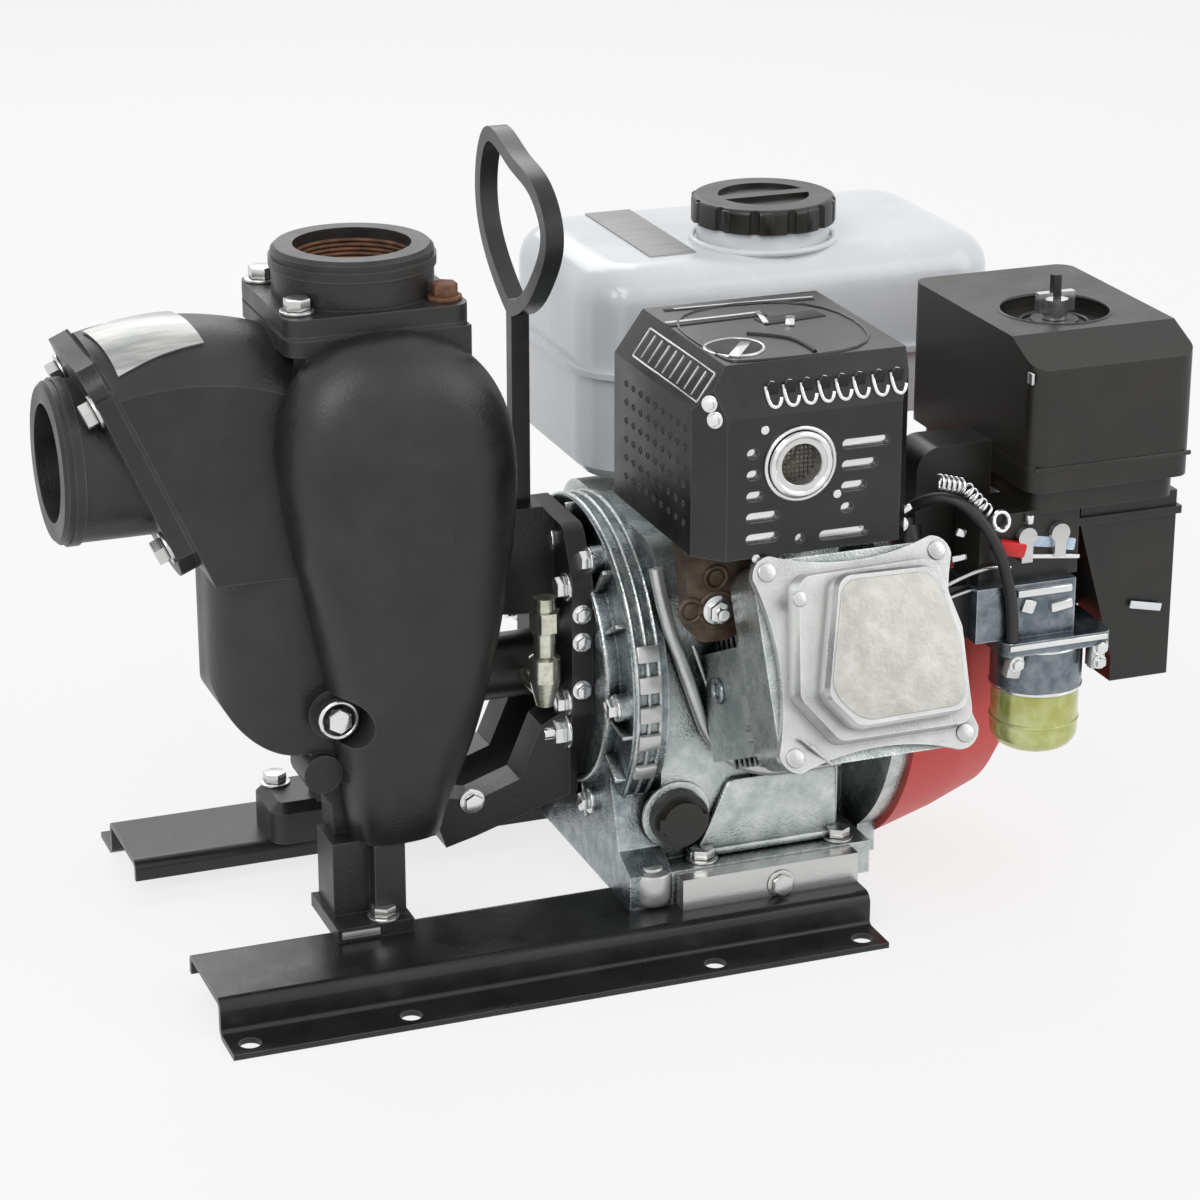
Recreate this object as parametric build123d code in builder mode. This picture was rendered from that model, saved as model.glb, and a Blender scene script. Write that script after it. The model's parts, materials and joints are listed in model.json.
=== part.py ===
from build123d import *
import math
import os

# Engine-driven centrifugal water pump on two steel rails.
# Millimetres, +Z up, +X from the pump towards the engine's starter side, -Y the side
# with the cylinder head. Origin: on the floor, midway between the rails, at mid-length.

os.makedirs("parts", exist_ok=True)

# Rails
rail_length = 343.4
rail_outer_y = 138.0
rail_web_y = 114.5
rail_inner_y = 56.0
rail_top_z = 20.0
rail_sheet = 3.0
rail_lip_height = 11.0
rail_bend_radius = 4.0
slot_end_inset = 10.7
slot_step = 81.0
slot_y = 128.3
slot_radius = 5.5

# Shaft line and the suction part of the casing
shaft_z = 126.0
casing_half_width = 44.0
chamber_left_x = -144.0
chamber_right_x = -60.0
chamber_bottom_z = 111.0
chamber_side_radius = 38.0
chamber_corner_radius = 36.0
chamber_bottom_radius = 8.0
crest_mid = (-162.0, 328.2)
crest_end = (-98.0, 316.5)
arch_rise = 10.0
arch_drop = 22.0
arch_crease_y = 31.0
arch_depth = 60.0
arch_root_depth = 36.0

# Volute and seal housing
volute_x = (-68.0, -40.0)
volute_radius = 74.0
seal_housing_x = -16.0
seal_housing_radius = 36.0
web_back_y = -24.0
web_outline = [(-103.0, 96.0), (-93.0, 82.0), (-92.0, 66.0), (-62.0, 66.0)]
ear_centre = (-98.0, 101.0)
ear_radius = 10.0
ear_height = 5.0
rear_leg_x = (-74.0, -60.0)
rear_leg_y = (50.0, 66.0)
rear_leg_top_z = 96.0
adaptor_pad_x = 2.0
adaptor_pad_half_width = 22.0
adaptor_pad_z = (150.0, 208.0)

# Slanted inlet flange with its neck
flange_tilt = 23.5
flange_mid_x = -182.0
flange_mid_z = 257.5
flange_height = 125.0
flange_corner = 14.0
flange_thickness = 9.0
gasket_thickness = 1.5
inlet_mouth_x = -217.0
inlet_z = 262.0
port_outer_radius = 39.8
port_bore_radius = 29.0
port_lip_chamfer = 2.0
port_rim_width = 5.0
port_rim_height = 1.2
inlet_bore_end_x = -140.0

# Discharge flange with its neck
discharge_x = -62.0
discharge_flange_top_z = 333.0
discharge_neck_height = 24.0
discharge_bore_depth = 87.0
discharge_mouth_z = discharge_flange_top_z + discharge_neck_height
discharge_flange_length = 92.0
discharge_flange_depth = 88.0
discharge_flange_corner = 8.0
discharge_flange_thickness = 9.0
casing_flange_thickness = 8.0
block_left_inset = 9.0
block_depth = 108.0

# Lobe of the discharge chamber: left and right outline by height, measured at its root
lobe_outline = [
    (50.0, -80.0, -48.0),
    (72.0, -86.0, -37.0),
    (96.0, -89.0, -27.0),
    (146.0, -95.0, -11.0),
    (198.0, -105.0, -1.0),
    (252.0, -115.0, 3.5),
    (284.0, -114.5, -1.5),
    (308.0, -103.0, -17.0),
]
lobe_top = (-62.0, 324.0)
lobe_bottom_z = 66.0
lobe_sections = [(0.0, 1.0), (14.0, 0.97), (25.0, 0.86), (32.0, 0.66), (35.0, 0.36)]
fit_gap = 0.3
lobe_centre = (-60.0, 236.0)
lobe_depth = 40.0

# Front foot on its plate and rear foot block
foot_rib_x = (-78.0, -62.0)
foot_web_x = (-97.0, -78.0)
foot_rib_y = (-66.0, -44.0)
foot_web_y = (-57.0, -30.0)
foot_plate_x = (-100.0, -60.0)
foot_plate_y = (-73.0, -26.0)
foot_plate_thickness = 7.0
rear_foot_x = (-98.0, -58.0)
rear_foot_y = (50.0, 92.0)
rear_foot_top_z = 42.0
rear_foot_corner = 8.0
rear_foot_edge = 5.0

# Plug in the casing's lower corner
plug_x = -92.0
plug_z = 133.0
plug_boss_radius = 13.0
plug_boss_height = 6.0
plug_ring_radius = 9.0
plug_ring_height = 2.0
plug_head_radius = 6.5
plug_head_height = 6.0

# Adaptor between the pump and the engine
engine_face_x = 47.0
adaptor_plate_thickness = 11.0
adaptor_plate_outline = [(42.0, 110.0), (42.0, 182.0), (28.0, 208.0)]
adaptor_plate_foot = (13.0, 46.0)
adaptor_plate_corner = 9.0
adaptor_hub_radius = 17.0
adaptor_upper_width = 30.0
adaptor_top_z = 215.0
adaptor_upper_arch = [(2.0, 160.0), (2.0, 200.0), (14.0, adaptor_top_z), (30.0, adaptor_top_z)]
adaptor_upper_end = [(36.0, 208.0), (36.0, 150.0), (24.0, 158.0)]
adaptor_lower_y = (-34.0, -14.0)
adaptor_lower_arm = [
    (-40.0, 74.0),
    (-30.0, 44.0),
    (-14.0, 48.0),
    (37.5, 64.0),
    (37.5, 112.0),
    (22.0, 104.0),
    (10.0, 76.0),
    (-14.0, 68.0),
]
adaptor_rear_y = (14.0, 34.0)
handle_foot_half_width = 14.0

# Drain fitting under the shaft seal
fitting_x = 20.0
fitting_y = -45.0
fitting_z = (120.0, 178.0)
fitting_radius = 8.0
fitting_stem_radius = 4.5
fitting_tip_radius = 4.4
fitting_neck_radius = 5.6
fitting_cone_height = 13.6
fitting_body_height = 25.6
fitting_neck_height = 27.2
fitting_hexagon_drop = 17.6
fitting_hexagon_height = 10.4

# Lifting handle
handle_x = 21.8
handle_width = 9.5
handle_bar = 7.5
handle_stem_y = -3.2
handle_loop_z = 318.0
handle_path = [
    (0.0, 318.0),
    (22.0, 332.0),
    (40.0, 354.0),
    (41.0, 380.0),
    (30.0, 397.0),
    (-6.0, 392.0),
    (-40.0, 383.0),
    (-54.0, 366.0),
    (-42.0, 342.0),
    (-14.0, 320.0),
]

# Crankcase, engine base and cover
crankcase_x = (72.0, 170.0)
crankcase_neck_half_width = 45.0
crankcase_neck_top_z = 190.0
crankcase_half_width = 74.0
crankcase_top_z = 205.0
crankcase_top_radius = 30.0
base_x = (72.0, 182.0)
base_thickness = 18.0
base_bolt_x = (92.0, 167.6)
base_bolt_y = 81.0
base_bolt_margin = 9.0
base_bolt_radius = 4.5
cover_radius = 84.0
cover_face_radius = 66.0
cover_rim_width = 6.0
cover_boss_radius = 7.0
cover_boss_inset = 1.0
cover_boss_count = 6
cover_foot_shoulder_z = 46.0
cover_foot_top_z = 96.0
cover_foot_top_y = 56.0
cover_foot_left_x = 49.0
mount_bar_x = (74.0, 171.0)
mount_bar_depth = 10.0
mount_bar_height = 17.0

# Inclined cylinder, head and rocker cover; measured back from the rocker cover's face
head_tilt = 25.0
rocker_centre = (138.0, -198.0, 186.0)
rocker_shift = (-2.0, 3.5)
rocker_flange_size = (104.0, 104.0)
rocker_flange_corner = 10.0
rocker_waist = 7.0
rocker_panel = [(-35.0, -15.0), (-21.0, -32.0), (38.0, -31.0), (41.0, 4.0), (31.0, 41.0), (-20.0, 42.0)]
rocker_step = [(-45.0, -14.0), (-27.0, -38.0), (45.0, -38.0), (47.0, 10.0), (38.0, 46.0), (-36.0, 45.0)]
rocker_panel_corner = 9.0
rocker_step_depth = 12.0
rocker_panel_depth = 4.0
rocker_draft = 10.0
rocker_cover_depth = 22.0
rocker_flange_depth = 27.0
head_size = (100.0, 100.0)
head_corner = 12.0
head_depth = 58.0
cylinder_size = (74.0, 84.0)
cylinder_barrel_inset = 6.0
cylinder_depth = 134.0
fin_thickness = 2.5
fin_pitch = 7.0
fin_margin = 4.0
gallery_width = 14.0
gallery_height = 54.0
gallery_shift = -10.0

# Muffler and its guard
guard_x = (60.0, 168.0)
guard_y = (-152.0, -38.0)
guard_z = (226.0, 320.0)
guard_side_chamfer = (15.0, 21.0)
guard_front_chamfer = (9.0, 24.0)
guard_corner_chamfer = 13.0
guard_right_chamfer = 5.0
guard_sheet = 2.0
muffler_gap = 7.0
muffler_top_gap = 24.0
muffler_corner = 20.0
tail_x = 110.0
tail_z = 271.0
tail_outer_radius = 15.5
tail_bore_radius = 10.5
tail_bore_depth = 30.0
tail_reach = 3.0
tail_guard_gap = 1.5
guard_bosses = [(92.0, 290.0), (146.0, 238.0)]
guard_boss_radius = 5.0

# Slots in the guard front: length and row, counted down from the top one
slot_height = 5.0
slot_rise = 10.6
right_slots = [(25.0, 0), (19.0, 1), (13.0, 2), (6.5, 3)]
left_slots = [(6.0, 0), (7.0, 1), (9.0, 2), (17.0, 3), (17.0, 4)]
right_slot_start_x = 132.0
left_slot_start_x = 83.0
right_slot_top_z = 277.5
left_slot_top_z = 278.0
low_slot_place = (134.0, 233.0)
low_slot_length = 26.0
low_hole_place = (111.0, 233.0)

# Exhaust flange below the muffler
exhaust_x = (62.0, 101.0)
exhaust_y = (-122.0, -108.0)
exhaust_bottom_z = 174.0
exhaust_taper = 7.0
exhaust_corner = 9.0

# Fuel tank and cap
tank_x = (70.0, 302.0)
tank_y = (16.0, 156.0)
tank_z = (210.0, 322.0)
tank_step_x = 184.0
tank_step_z = 232.0
tank_corner = 30.0
tank_top_radius = 20.0
tank_bottom_chamfer = 6.0
tank_seam_z = 266.0
tank_seam_width = 4.0
tank_seam_height = 3.0
cap_x = 182.0
cap_y = 62.0
neck_radius = 35.0
neck_height = 10.0
cap_radius = 38.0
cap_height = 13.0
cap_dish_radius = 24.0
cap_dish_depth = 2.5
cap_bar_width = 8.0
cap_edge = 3.0
cap_notch_count = 12
cap_notch_radius = 3.0
cap_notch_reach = 1.0
bracket_centre = (130.0, 30.0)
bracket_size = (70.0, 24.0)

# Fan housing and recoil starter, about the housing's own centre
fan_centre = (-6.0, 120.0)
fan_profile = [(196.0, 107.0), (230.0, 98.0), (256.0, 89.0)]
fan_face_x = 264.0
fan_shoulder = 8.0
recoil_x = 300.0
recoil_radius = 70.0
recoil_edge = 10.0
recoil_cup_radius = 34.0
recoil_cup_depth = 4.0
grip_place = (278.0, 66.0)
grip_size = (14.0, 34.0, 12.0)

# Shroud plate between the crankcase and the fan housing
shroud_x = (186.0, 196.0)
shroud_radius = 103.0
shroud_foot_half_width = 66.0

# Air cleaner
cleaner_x = (229.0, 318.0)
cleaner_y = (-160.0, -22.0)
cleaner_corner = 9.0
cleaner_base_z = 231.0
cleaner_split_z = 255.0
cleaner_base_inset = 5.0
cleaner_base_taper_z = 12.0
cleaner_top_z = 316.0
cleaner_front_slope = (26.0, 11.0)
cleaner_side_slope = 4.0
recess_x = 271.0
recess_y = -98.0
recess_radius = 28.0
recess_depth = 7.0
recess_floor_radius = 12.0
stud_radius = 3.0
stud_height = 18.0
nut_hub_radius = 6.5
nut_height = 10.0
wing_length = 20.0
wing_thickness = 4.0
nut_clearance = 0.05
duct_x = (265.0, 318.5)
duct_y = (-146.0, -120.0)
duct_bottom_z = 133.0
duct_lip_x = 286.0
duct_shoulder_z = 146.0
duct_band_height = 12.0
duct_band = 2.0

# Elbow from the carburettor group to the air cleaner
elbow_x = (188.5, 229.0)
elbow_depth = 26.0
elbow_z = (200.0, 258.0)
elbow_corner = 12.0

# Carburettor group
carb_x = 247.0
carb_y = -140.0
carb_half_depth = 17.0
carb_body_x = (204.0, 258.0)
carb_body_z = (168.0, 196.0)
carb_plate_z = (161.0, 168.0)
carb_plate_x = (217.0, 277.0)
carb_plate_half_depth = 24.0
bowl_radius = 23.0
bowl_split_z = 137.0
bowl_bottom_z = 104.0
bowl_edge = 9.0
bowl_lip = 1.0
spacer_half_depth = 12.0
spacer_shift = 4.0
control_x = (208.0, 262.0)
control_y = (-150.0, -118.0)
control_z = (196.0, 231.0)
control_corner = 6.0
choke_pivot_x = 232.0
fuel_pivot_x = 250.0
lever_pivot_z = 219.0
lever_thickness = 4.0
lever_width = 6.0
lever_hub_radius = 5.0
choke_length = 13.0
fuel_length = 12.0

# Oil filler cap on the crankcase's front
oil_cap_x = 80.0
oil_cap_z = 62.0
oil_cap_radius = 15.0
oil_cap_height = 12.0
oil_cap_bar = 7.0
oil_cap_rim = 4.0

# Spark plug cap on the head's upper side and its lead, a cord of chosen points
plug_cap_x = 38.5
plug_cap_depth = 44.0
plug_cap_radius = 7.5
plug_cap_length = 9.0
plug_neck_radius = 5.0
plug_neck_length = 4.0
lead_radius = 3.0
lead_rise = 5.0
lead_bends = [4.5, 12.0, 20.0, 20.0, 12.0]
lead_points = [
    (190.9, -145.0, 243.9),
    (204.7, -156.0, 234.1),
    (214.8, -161.0, 213.8),
    (222.5, -160.3, 185.0),
]


def tilted(depth):
    """Plane across the inclined cylinder, depth behind the rocker cover's face."""
    lean = math.radians(head_tilt)
    normal = (0.0, -math.cos(lean), math.sin(lean))
    return Plane(origin=rocker_centre, x_dir=(1, 0, 0), z_dir=normal).offset(-depth)


def inlet_plane(depth):
    """Plane of the slanted inlet flange, depth behind its outer face."""
    lean = math.radians(flange_tilt)
    normal = (-math.cos(lean), 0.0, -math.sin(lean))
    face = Plane(origin=(flange_mid_x, 0, flange_mid_z), x_dir=(0, 1, 0), z_dir=normal)
    return face.offset(-depth)


def inlet_face_point(height):
    """Point in X and Z on the casing's slanted face, height along it from its middle."""
    lean = math.radians(flange_tilt)
    depth = flange_thickness + gasket_thickness
    x = flange_mid_x + depth * math.cos(lean) - height * math.sin(lean)
    z = flange_mid_z + depth * math.sin(lean) + height * math.cos(lean)
    return (x, z)


def middle(pair):
    """Middle of a range."""
    return (pair[0] + pair[1]) / 2


def span(pair):
    """Length of a range."""
    return pair[1] - pair[0]


def finish(builder, name):
    """Label a finished piece and write it out."""
    builder.part.label = name
    export_step(builder.part, f"parts/{name}.step")


def make_rail(side):
    """One rail of folded sheet; side is -1 for the front rail and 1 for the rear one."""
    half = rail_sheet / 2
    stations = [
        (side * rail_outer_y, half),
        (side * (rail_web_y - half), half),
        (side * (rail_web_y - half), rail_top_z - half),
        (side * (rail_inner_y + half), rail_top_z - half),
        (side * (rail_inner_y + half), rail_top_z - rail_lip_height),
    ]
    slot_outer_x = rail_length / 2 - slot_end_inset
    slot_inner_x = slot_outer_x - slot_step
    slots = [(x, side * slot_y) for x in (-slot_outer_x, -slot_inner_x, slot_inner_x, slot_outer_x)]
    with BuildPart() as rail:
        with BuildSketch(Plane.YZ.offset(-rail_length / 2)):
            with BuildLine():
                FilletPolyline(*stations, radius=rail_bend_radius)
            trace(line_width=rail_sheet)
        extrude(amount=rail_length)
        with BuildSketch(Plane.XY):
            with Locations(*slots):
                Circle(slot_radius)
        extrude(amount=rail_sheet, mode=Mode.SUBTRACT)
    return rail


def lobe_section(grow):
    """Outline of the lobe, drawn in towards its middle by a factor."""
    cx, cz = lobe_centre
    left = [(x0, z) for z, x0, x1 in lobe_outline]
    right = [(x1, z) for z, x0, x1 in reversed(lobe_outline)]
    points = left + [lobe_top] + right
    return [(cx + (x - cx) * grow, cz + (z - cz) * grow) for x, z in points]


def inlet_outline(plane):
    """Sketch of the inlet flange: rounded foot corners, arched top as the casing behind it."""
    half = flange_height / 2
    low = -half + flange_corner
    foot = casing_half_width - flange_corner
    with BuildSketch(plane) as outline:
        with BuildLine():
            Polyline(
                (arch_crease_y, half - arch_rise),
                (casing_half_width, half - arch_drop),
                (casing_half_width, low),
            )
            RadiusArc((casing_half_width, low), (foot, -half), -flange_corner)
            Line((foot, -half), (-foot, -half))
            RadiusArc((-foot, -half), (-casing_half_width, low), -flange_corner)
            Polyline(
                (-casing_half_width, low),
                (-casing_half_width, half - arch_drop),
                (-arch_crease_y, half - arch_rise),
            )
            ThreePointArc((-arch_crease_y, half - arch_rise), (0, half), (arch_crease_y, half - arch_rise))
        make_face()
    return outline


def make_lever(pivot_x, length):
    """Flat lever that turns on the control box's front."""
    front = -control_y[0] + fit_gap
    with BuildPart() as lever:
        with BuildSketch(Plane.XZ.offset(front)):
            with Locations((pivot_x, lever_pivot_z)):
                Circle(lever_hub_radius)
            with Locations((pivot_x, lever_pivot_z - length / 2)):
                Rectangle(lever_width, length)
        extrude(amount=lever_thickness)
    return lever


# Rails
front_rail = make_rail(-1)
rear_rail = make_rail(1)
finish(front_rail, "front_rail")
finish(rear_rail, "rear_rail")

# Pump casing: arched suction part, nose, discharge block, volute, web and rear leg
block_top_z = discharge_flange_top_z - discharge_flange_thickness - gasket_thickness
block_x = (
    discharge_x - discharge_flange_length / 2 + block_left_inset,
    discharge_x + discharge_flange_length / 2,
)
nose_top_z = inlet_face_point(-flange_height / 2)[1] + chamber_bottom_radius
crest_start = inlet_face_point(flange_height / 2 + flange_thickness / 2)
arch_root = inlet_face_point(flange_height / 2 - arch_root_depth)
nose_x = (chamber_left_x, chamber_right_x)
nose_z = (chamber_bottom_z, nose_top_z)
with BuildPart() as nose:
    with BuildSketch(Plane.XZ) as nose_side:
        with Locations((middle(nose_x), middle(nose_z))):
            Rectangle(span(nose_x), span(nose_z))
        fillet(nose_side.vertices().group_by(Axis.Y)[0].sort_by(Axis.X)[0], chamber_corner_radius)
    extrude(amount=casing_half_width, both=True)
    with BuildSketch(Plane.XY.offset(chamber_bottom_z)) as nose_plan:
        with Locations((middle((chamber_left_x, chamber_right_x)), 0)):
            Rectangle(chamber_right_x - chamber_left_x, 2 * casing_half_width)
        fillet(nose_plan.vertices().group_by(Axis.X)[0], chamber_side_radius)
    extrude(amount=nose_top_z - chamber_bottom_z, mode=Mode.INTERSECT)
with BuildPart() as pump_casing:
    with BuildLine() as crest:
        ThreePointArc(
            (crest_start[0], 0, crest_start[1]),
            (crest_mid[0], 0, crest_mid[1]),
            (crest_end[0], 0, crest_end[1]),
        )
    with BuildSketch(Plane(origin=crest.line @ 0, x_dir=(0, 1, 0), z_dir=crest.line % 0)):
        with BuildLine():
            Polyline(
                (arch_crease_y, -arch_rise),
                (casing_half_width, -arch_drop),
                (casing_half_width, -arch_depth),
                (-casing_half_width, -arch_depth),
                (-casing_half_width, -arch_drop),
                (-arch_crease_y, -arch_rise),
            )
            ThreePointArc((-arch_crease_y, -arch_rise), (0, 0), (arch_crease_y, -arch_rise))
        make_face()
    sweep(path=crest.line)
    with BuildSketch(Plane.XZ):
        with BuildLine():
            Polyline(
                arch_root,
                (chamber_right_x, arch_root[1]),
                (chamber_right_x, nose_top_z - chamber_bottom_radius),
                inlet_face_point(-flange_height / 2),
                close=True,
            )
        make_face()
    extrude(amount=casing_half_width, both=True)
    split(bisect_by=inlet_plane(flange_thickness + gasket_thickness), keep=Keep.BOTTOM)
    add(nose.part)
    with BuildSketch(Plane.XY.offset(block_top_z - block_depth)):
        with Locations((middle(block_x), 0)):
            Rectangle(span(block_x), 2 * casing_half_width)
    extrude(amount=block_depth)
    with BuildSketch(Plane.XY.offset(block_top_z - casing_flange_thickness)):
        with Locations((discharge_x, 0)):
            RectangleRounded(discharge_flange_length, discharge_flange_depth, discharge_flange_corner)
    extrude(amount=casing_flange_thickness)
    with BuildSketch(Plane.YZ.offset(volute_x[0])):
        with Locations((0, shaft_z)):
            Circle(volute_radius)
    extrude(amount=span(volute_x))
    split(bisect_by=Plane.XZ.offset(casing_half_width), keep=Keep.BOTTOM)
    with BuildSketch(Plane.YZ.offset(chamber_right_x)):
        with Locations((0, shaft_z)):
            Circle(seal_housing_radius)
    extrude(amount=seal_housing_x - chamber_right_x)
    with BuildSketch(Plane.YZ.offset(volute_x[0])):
        with Locations((0, middle(adaptor_pad_z))):
            Rectangle(2 * adaptor_pad_half_width, span(adaptor_pad_z))
    extrude(amount=adaptor_pad_x - volute_x[0])
    with BuildSketch(Plane.XZ.offset(-web_back_y)):
        with BuildLine():
            Polyline(
                (web_outline[0][0], chamber_bottom_z + chamber_bottom_radius),
                *web_outline,
                (web_outline[-1][0], chamber_bottom_z + chamber_bottom_radius),
                close=True,
            )
        make_face()
    extrude(amount=casing_half_width + web_back_y)
    with BuildSketch(Plane.XZ.offset(-web_back_y)):
        with Locations(ear_centre):
            Circle(ear_radius)
    extrude(amount=casing_half_width + web_back_y + ear_height)
    with BuildSketch(Plane.XY.offset(rear_foot_top_z)):
        with Locations((middle(rear_leg_x), middle(rear_leg_y))):
            Rectangle(span(rear_leg_x), span(rear_leg_y))
    extrude(amount=rear_leg_top_z - rear_foot_top_z)
    with BuildSketch(Plane.YZ.offset(inlet_bore_end_x)):
        with Locations((0, inlet_z)):
            Circle(port_bore_radius)
    extrude(amount=inlet_mouth_x - inlet_bore_end_x, mode=Mode.SUBTRACT)
    with BuildSketch(Plane.XY.offset(discharge_mouth_z - discharge_bore_depth)):
        with Locations((discharge_x, 0)):
            Circle(port_bore_radius)
    extrude(amount=discharge_bore_depth, mode=Mode.SUBTRACT)
finish(pump_casing, "pump_casing")

# Lobe of the discharge chamber, a smooth casting that bulges towards the front
with BuildPart() as discharge_chamber:
    for offset_y, grow in lobe_sections:
        with BuildSketch(Plane.XZ.offset(casing_half_width + offset_y)):
            with BuildLine():
                Spline(*lobe_section(grow), periodic=True)
            make_face()
    loft()
    split(bisect_by=Plane.XY.offset(lobe_bottom_z), keep=Keep.TOP)
    with BuildSketch(Plane.XZ.offset(casing_half_width)):
        with Locations((plug_x, plug_z)):
            Circle(plug_boss_radius + fit_gap)
        with Locations(ear_centre):
            Circle(ear_radius + fit_gap)
    extrude(amount=lobe_depth, mode=Mode.SUBTRACT)
finish(discharge_chamber, "discharge_chamber")

# Front foot: a rib and a web between the casing and a foot plate
with BuildPart() as pump_front_foot:
    with BuildSketch(Plane.XY.offset(rail_top_z)):
        with Locations((middle(foot_plate_x), middle(foot_plate_y))):
            Rectangle(span(foot_plate_x), span(foot_plate_y))
    extrude(amount=foot_plate_thickness)
    with BuildSketch(Plane.XY.offset(rail_top_z + foot_plate_thickness)):
        with Locations((middle(foot_rib_x), middle(foot_rib_y))):
            Rectangle(span(foot_rib_x), span(foot_rib_y))
        with Locations((middle(foot_web_x), middle(foot_web_y))):
            Rectangle(span(foot_web_x), span(foot_web_y))
    extrude(amount=lobe_bottom_z - rail_top_z - foot_plate_thickness)
finish(pump_front_foot, "pump_front_foot")

# Rear foot: a rounded block on the rear rail
with BuildPart() as pump_rear_foot:
    with BuildSketch(Plane.XY.offset(rail_top_z)):
        with Locations((middle(rear_foot_x), middle(rear_foot_y))):
            RectangleRounded(span(rear_foot_x), span(rear_foot_y), rear_foot_corner)
    extrude(amount=rear_foot_top_z - rail_top_z)
    chamfer(pump_rear_foot.edges().group_by(Axis.Z)[-1], rear_foot_edge)
finish(pump_rear_foot, "pump_rear_foot")

# Inlet flange and neck
with BuildPart() as inlet_flange:
    with BuildSketch(Plane.YZ.offset(inlet_mouth_x)):
        with Locations((0, inlet_z)):
            Circle(port_outer_radius)
    extrude(amount=chamber_left_x - inlet_mouth_x)
    with BuildSketch(Plane.YZ.offset(inlet_mouth_x + port_rim_width)):
        with Locations((0, inlet_z)):
            Circle(port_outer_radius + port_rim_height)
    extrude(amount=port_rim_width)
    split(bisect_by=inlet_plane(flange_thickness), keep=Keep.TOP)
    add(extrude(inlet_outline(inlet_plane(0.0)).sketch, amount=-flange_thickness, mode=Mode.PRIVATE))
    with BuildSketch(Plane.YZ.offset(inlet_mouth_x)):
        with Locations((0, inlet_z)):
            Circle(port_bore_radius)
    extrude(amount=inlet_bore_end_x - inlet_mouth_x, mode=Mode.SUBTRACT)
    chamfer(inlet_flange.edges().group_by(Axis.X)[0].sort_by(SortBy.LENGTH)[-1], port_lip_chamfer)
finish(inlet_flange, "inlet_flange")

with BuildPart() as inlet_gasket:
    gasket_outline = inlet_outline(inlet_plane(flange_thickness))
    add(extrude(gasket_outline.sketch, amount=-gasket_thickness, mode=Mode.PRIVATE))
    with BuildSketch(Plane.YZ.offset(inlet_mouth_x)):
        with Locations((0, inlet_z)):
            Circle(port_bore_radius)
    extrude(amount=inlet_bore_end_x - inlet_mouth_x, mode=Mode.SUBTRACT)
finish(inlet_gasket, "inlet_gasket")

# Discharge flange and neck
with BuildPart() as discharge_flange:
    with BuildSketch(Plane.XY.offset(discharge_flange_top_z - discharge_flange_thickness)):
        with Locations((discharge_x, 0)):
            RectangleRounded(discharge_flange_length, discharge_flange_depth, discharge_flange_corner)
    extrude(amount=discharge_flange_thickness)
    with BuildSketch(Plane.XY.offset(discharge_flange_top_z)):
        with Locations((discharge_x, 0)):
            Circle(port_outer_radius)
    extrude(amount=discharge_mouth_z - discharge_flange_top_z)
    chamfer(discharge_flange.edges().group_by(Axis.Z)[-1], port_lip_chamfer)
    with BuildSketch(Plane.XY.offset(discharge_mouth_z - 2 * port_rim_width)):
        with Locations((discharge_x, 0)):
            Circle(port_outer_radius + port_rim_height)
    extrude(amount=port_rim_width)
    with BuildSketch(Plane.XY.offset(discharge_flange_top_z - discharge_flange_thickness)):
        with Locations((discharge_x, 0)):
            Circle(port_bore_radius)
    extrude(amount=discharge_mouth_z, mode=Mode.SUBTRACT)
finish(discharge_flange, "discharge_flange")

with BuildPart() as discharge_gasket:
    with BuildSketch(Plane.XY.offset(block_top_z)):
        with Locations((discharge_x, 0)):
            RectangleRounded(discharge_flange_length, discharge_flange_depth, discharge_flange_corner)
            Circle(port_bore_radius, mode=Mode.SUBTRACT)
    extrude(amount=gasket_thickness)
finish(discharge_gasket, "discharge_gasket")

# Plug in its boss on the casing's side
with BuildPart() as casing_plug:
    with BuildSketch(Plane.XZ.offset(casing_half_width)):
        with Locations((plug_x, plug_z)):
            Circle(plug_boss_radius)
    extrude(amount=plug_boss_height)
    with BuildSketch(Plane.XZ.offset(casing_half_width + plug_boss_height)):
        with Locations((plug_x, plug_z)):
            Circle(plug_ring_radius)
    extrude(amount=plug_ring_height)
    with BuildSketch(Plane.XZ.offset(casing_half_width + plug_boss_height + plug_ring_height)):
        with Locations((plug_x, plug_z)):
            RegularPolygon(plug_head_radius, 6)
    extrude(amount=plug_head_height)
finish(casing_plug, "casing_plug")

# Adaptor: engine plate, hub around the shaft, arched upper web, lower and rear arms
plate_fall = [(-y, z) for y, z in reversed(adaptor_plate_outline)]
foot_y, foot_z = adaptor_plate_foot
with BuildPart() as pump_adaptor:
    with BuildSketch(Plane.YZ.offset(engine_face_x - adaptor_plate_thickness)) as plate:
        with BuildLine():
            Polyline((foot_y, foot_z), *adaptor_plate_outline, *plate_fall, (-foot_y, foot_z), close=True)
        make_face()
        fillet(plate.vertices(), adaptor_plate_corner)
    extrude(amount=adaptor_plate_thickness)
    with BuildSketch(Plane.YZ.offset(seal_housing_x)):
        with Locations((0, shaft_z)):
            Circle(adaptor_hub_radius)
    extrude(amount=engine_face_x - seal_housing_x)
    with BuildSketch(Plane.XZ.offset(-adaptor_upper_width / 2)):
        with BuildLine():
            Polyline(*adaptor_upper_arch, *adaptor_upper_end, close=True)
        make_face()
    extrude(amount=adaptor_upper_width)
    for arm_y in (adaptor_lower_y, adaptor_rear_y):
        with BuildSketch(Plane.XZ.offset(-arm_y[1])):
            with BuildLine():
                Polyline(*adaptor_lower_arm, close=True)
            make_face()
        extrude(amount=span(arm_y))
finish(pump_adaptor, "pump_adaptor")

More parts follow.
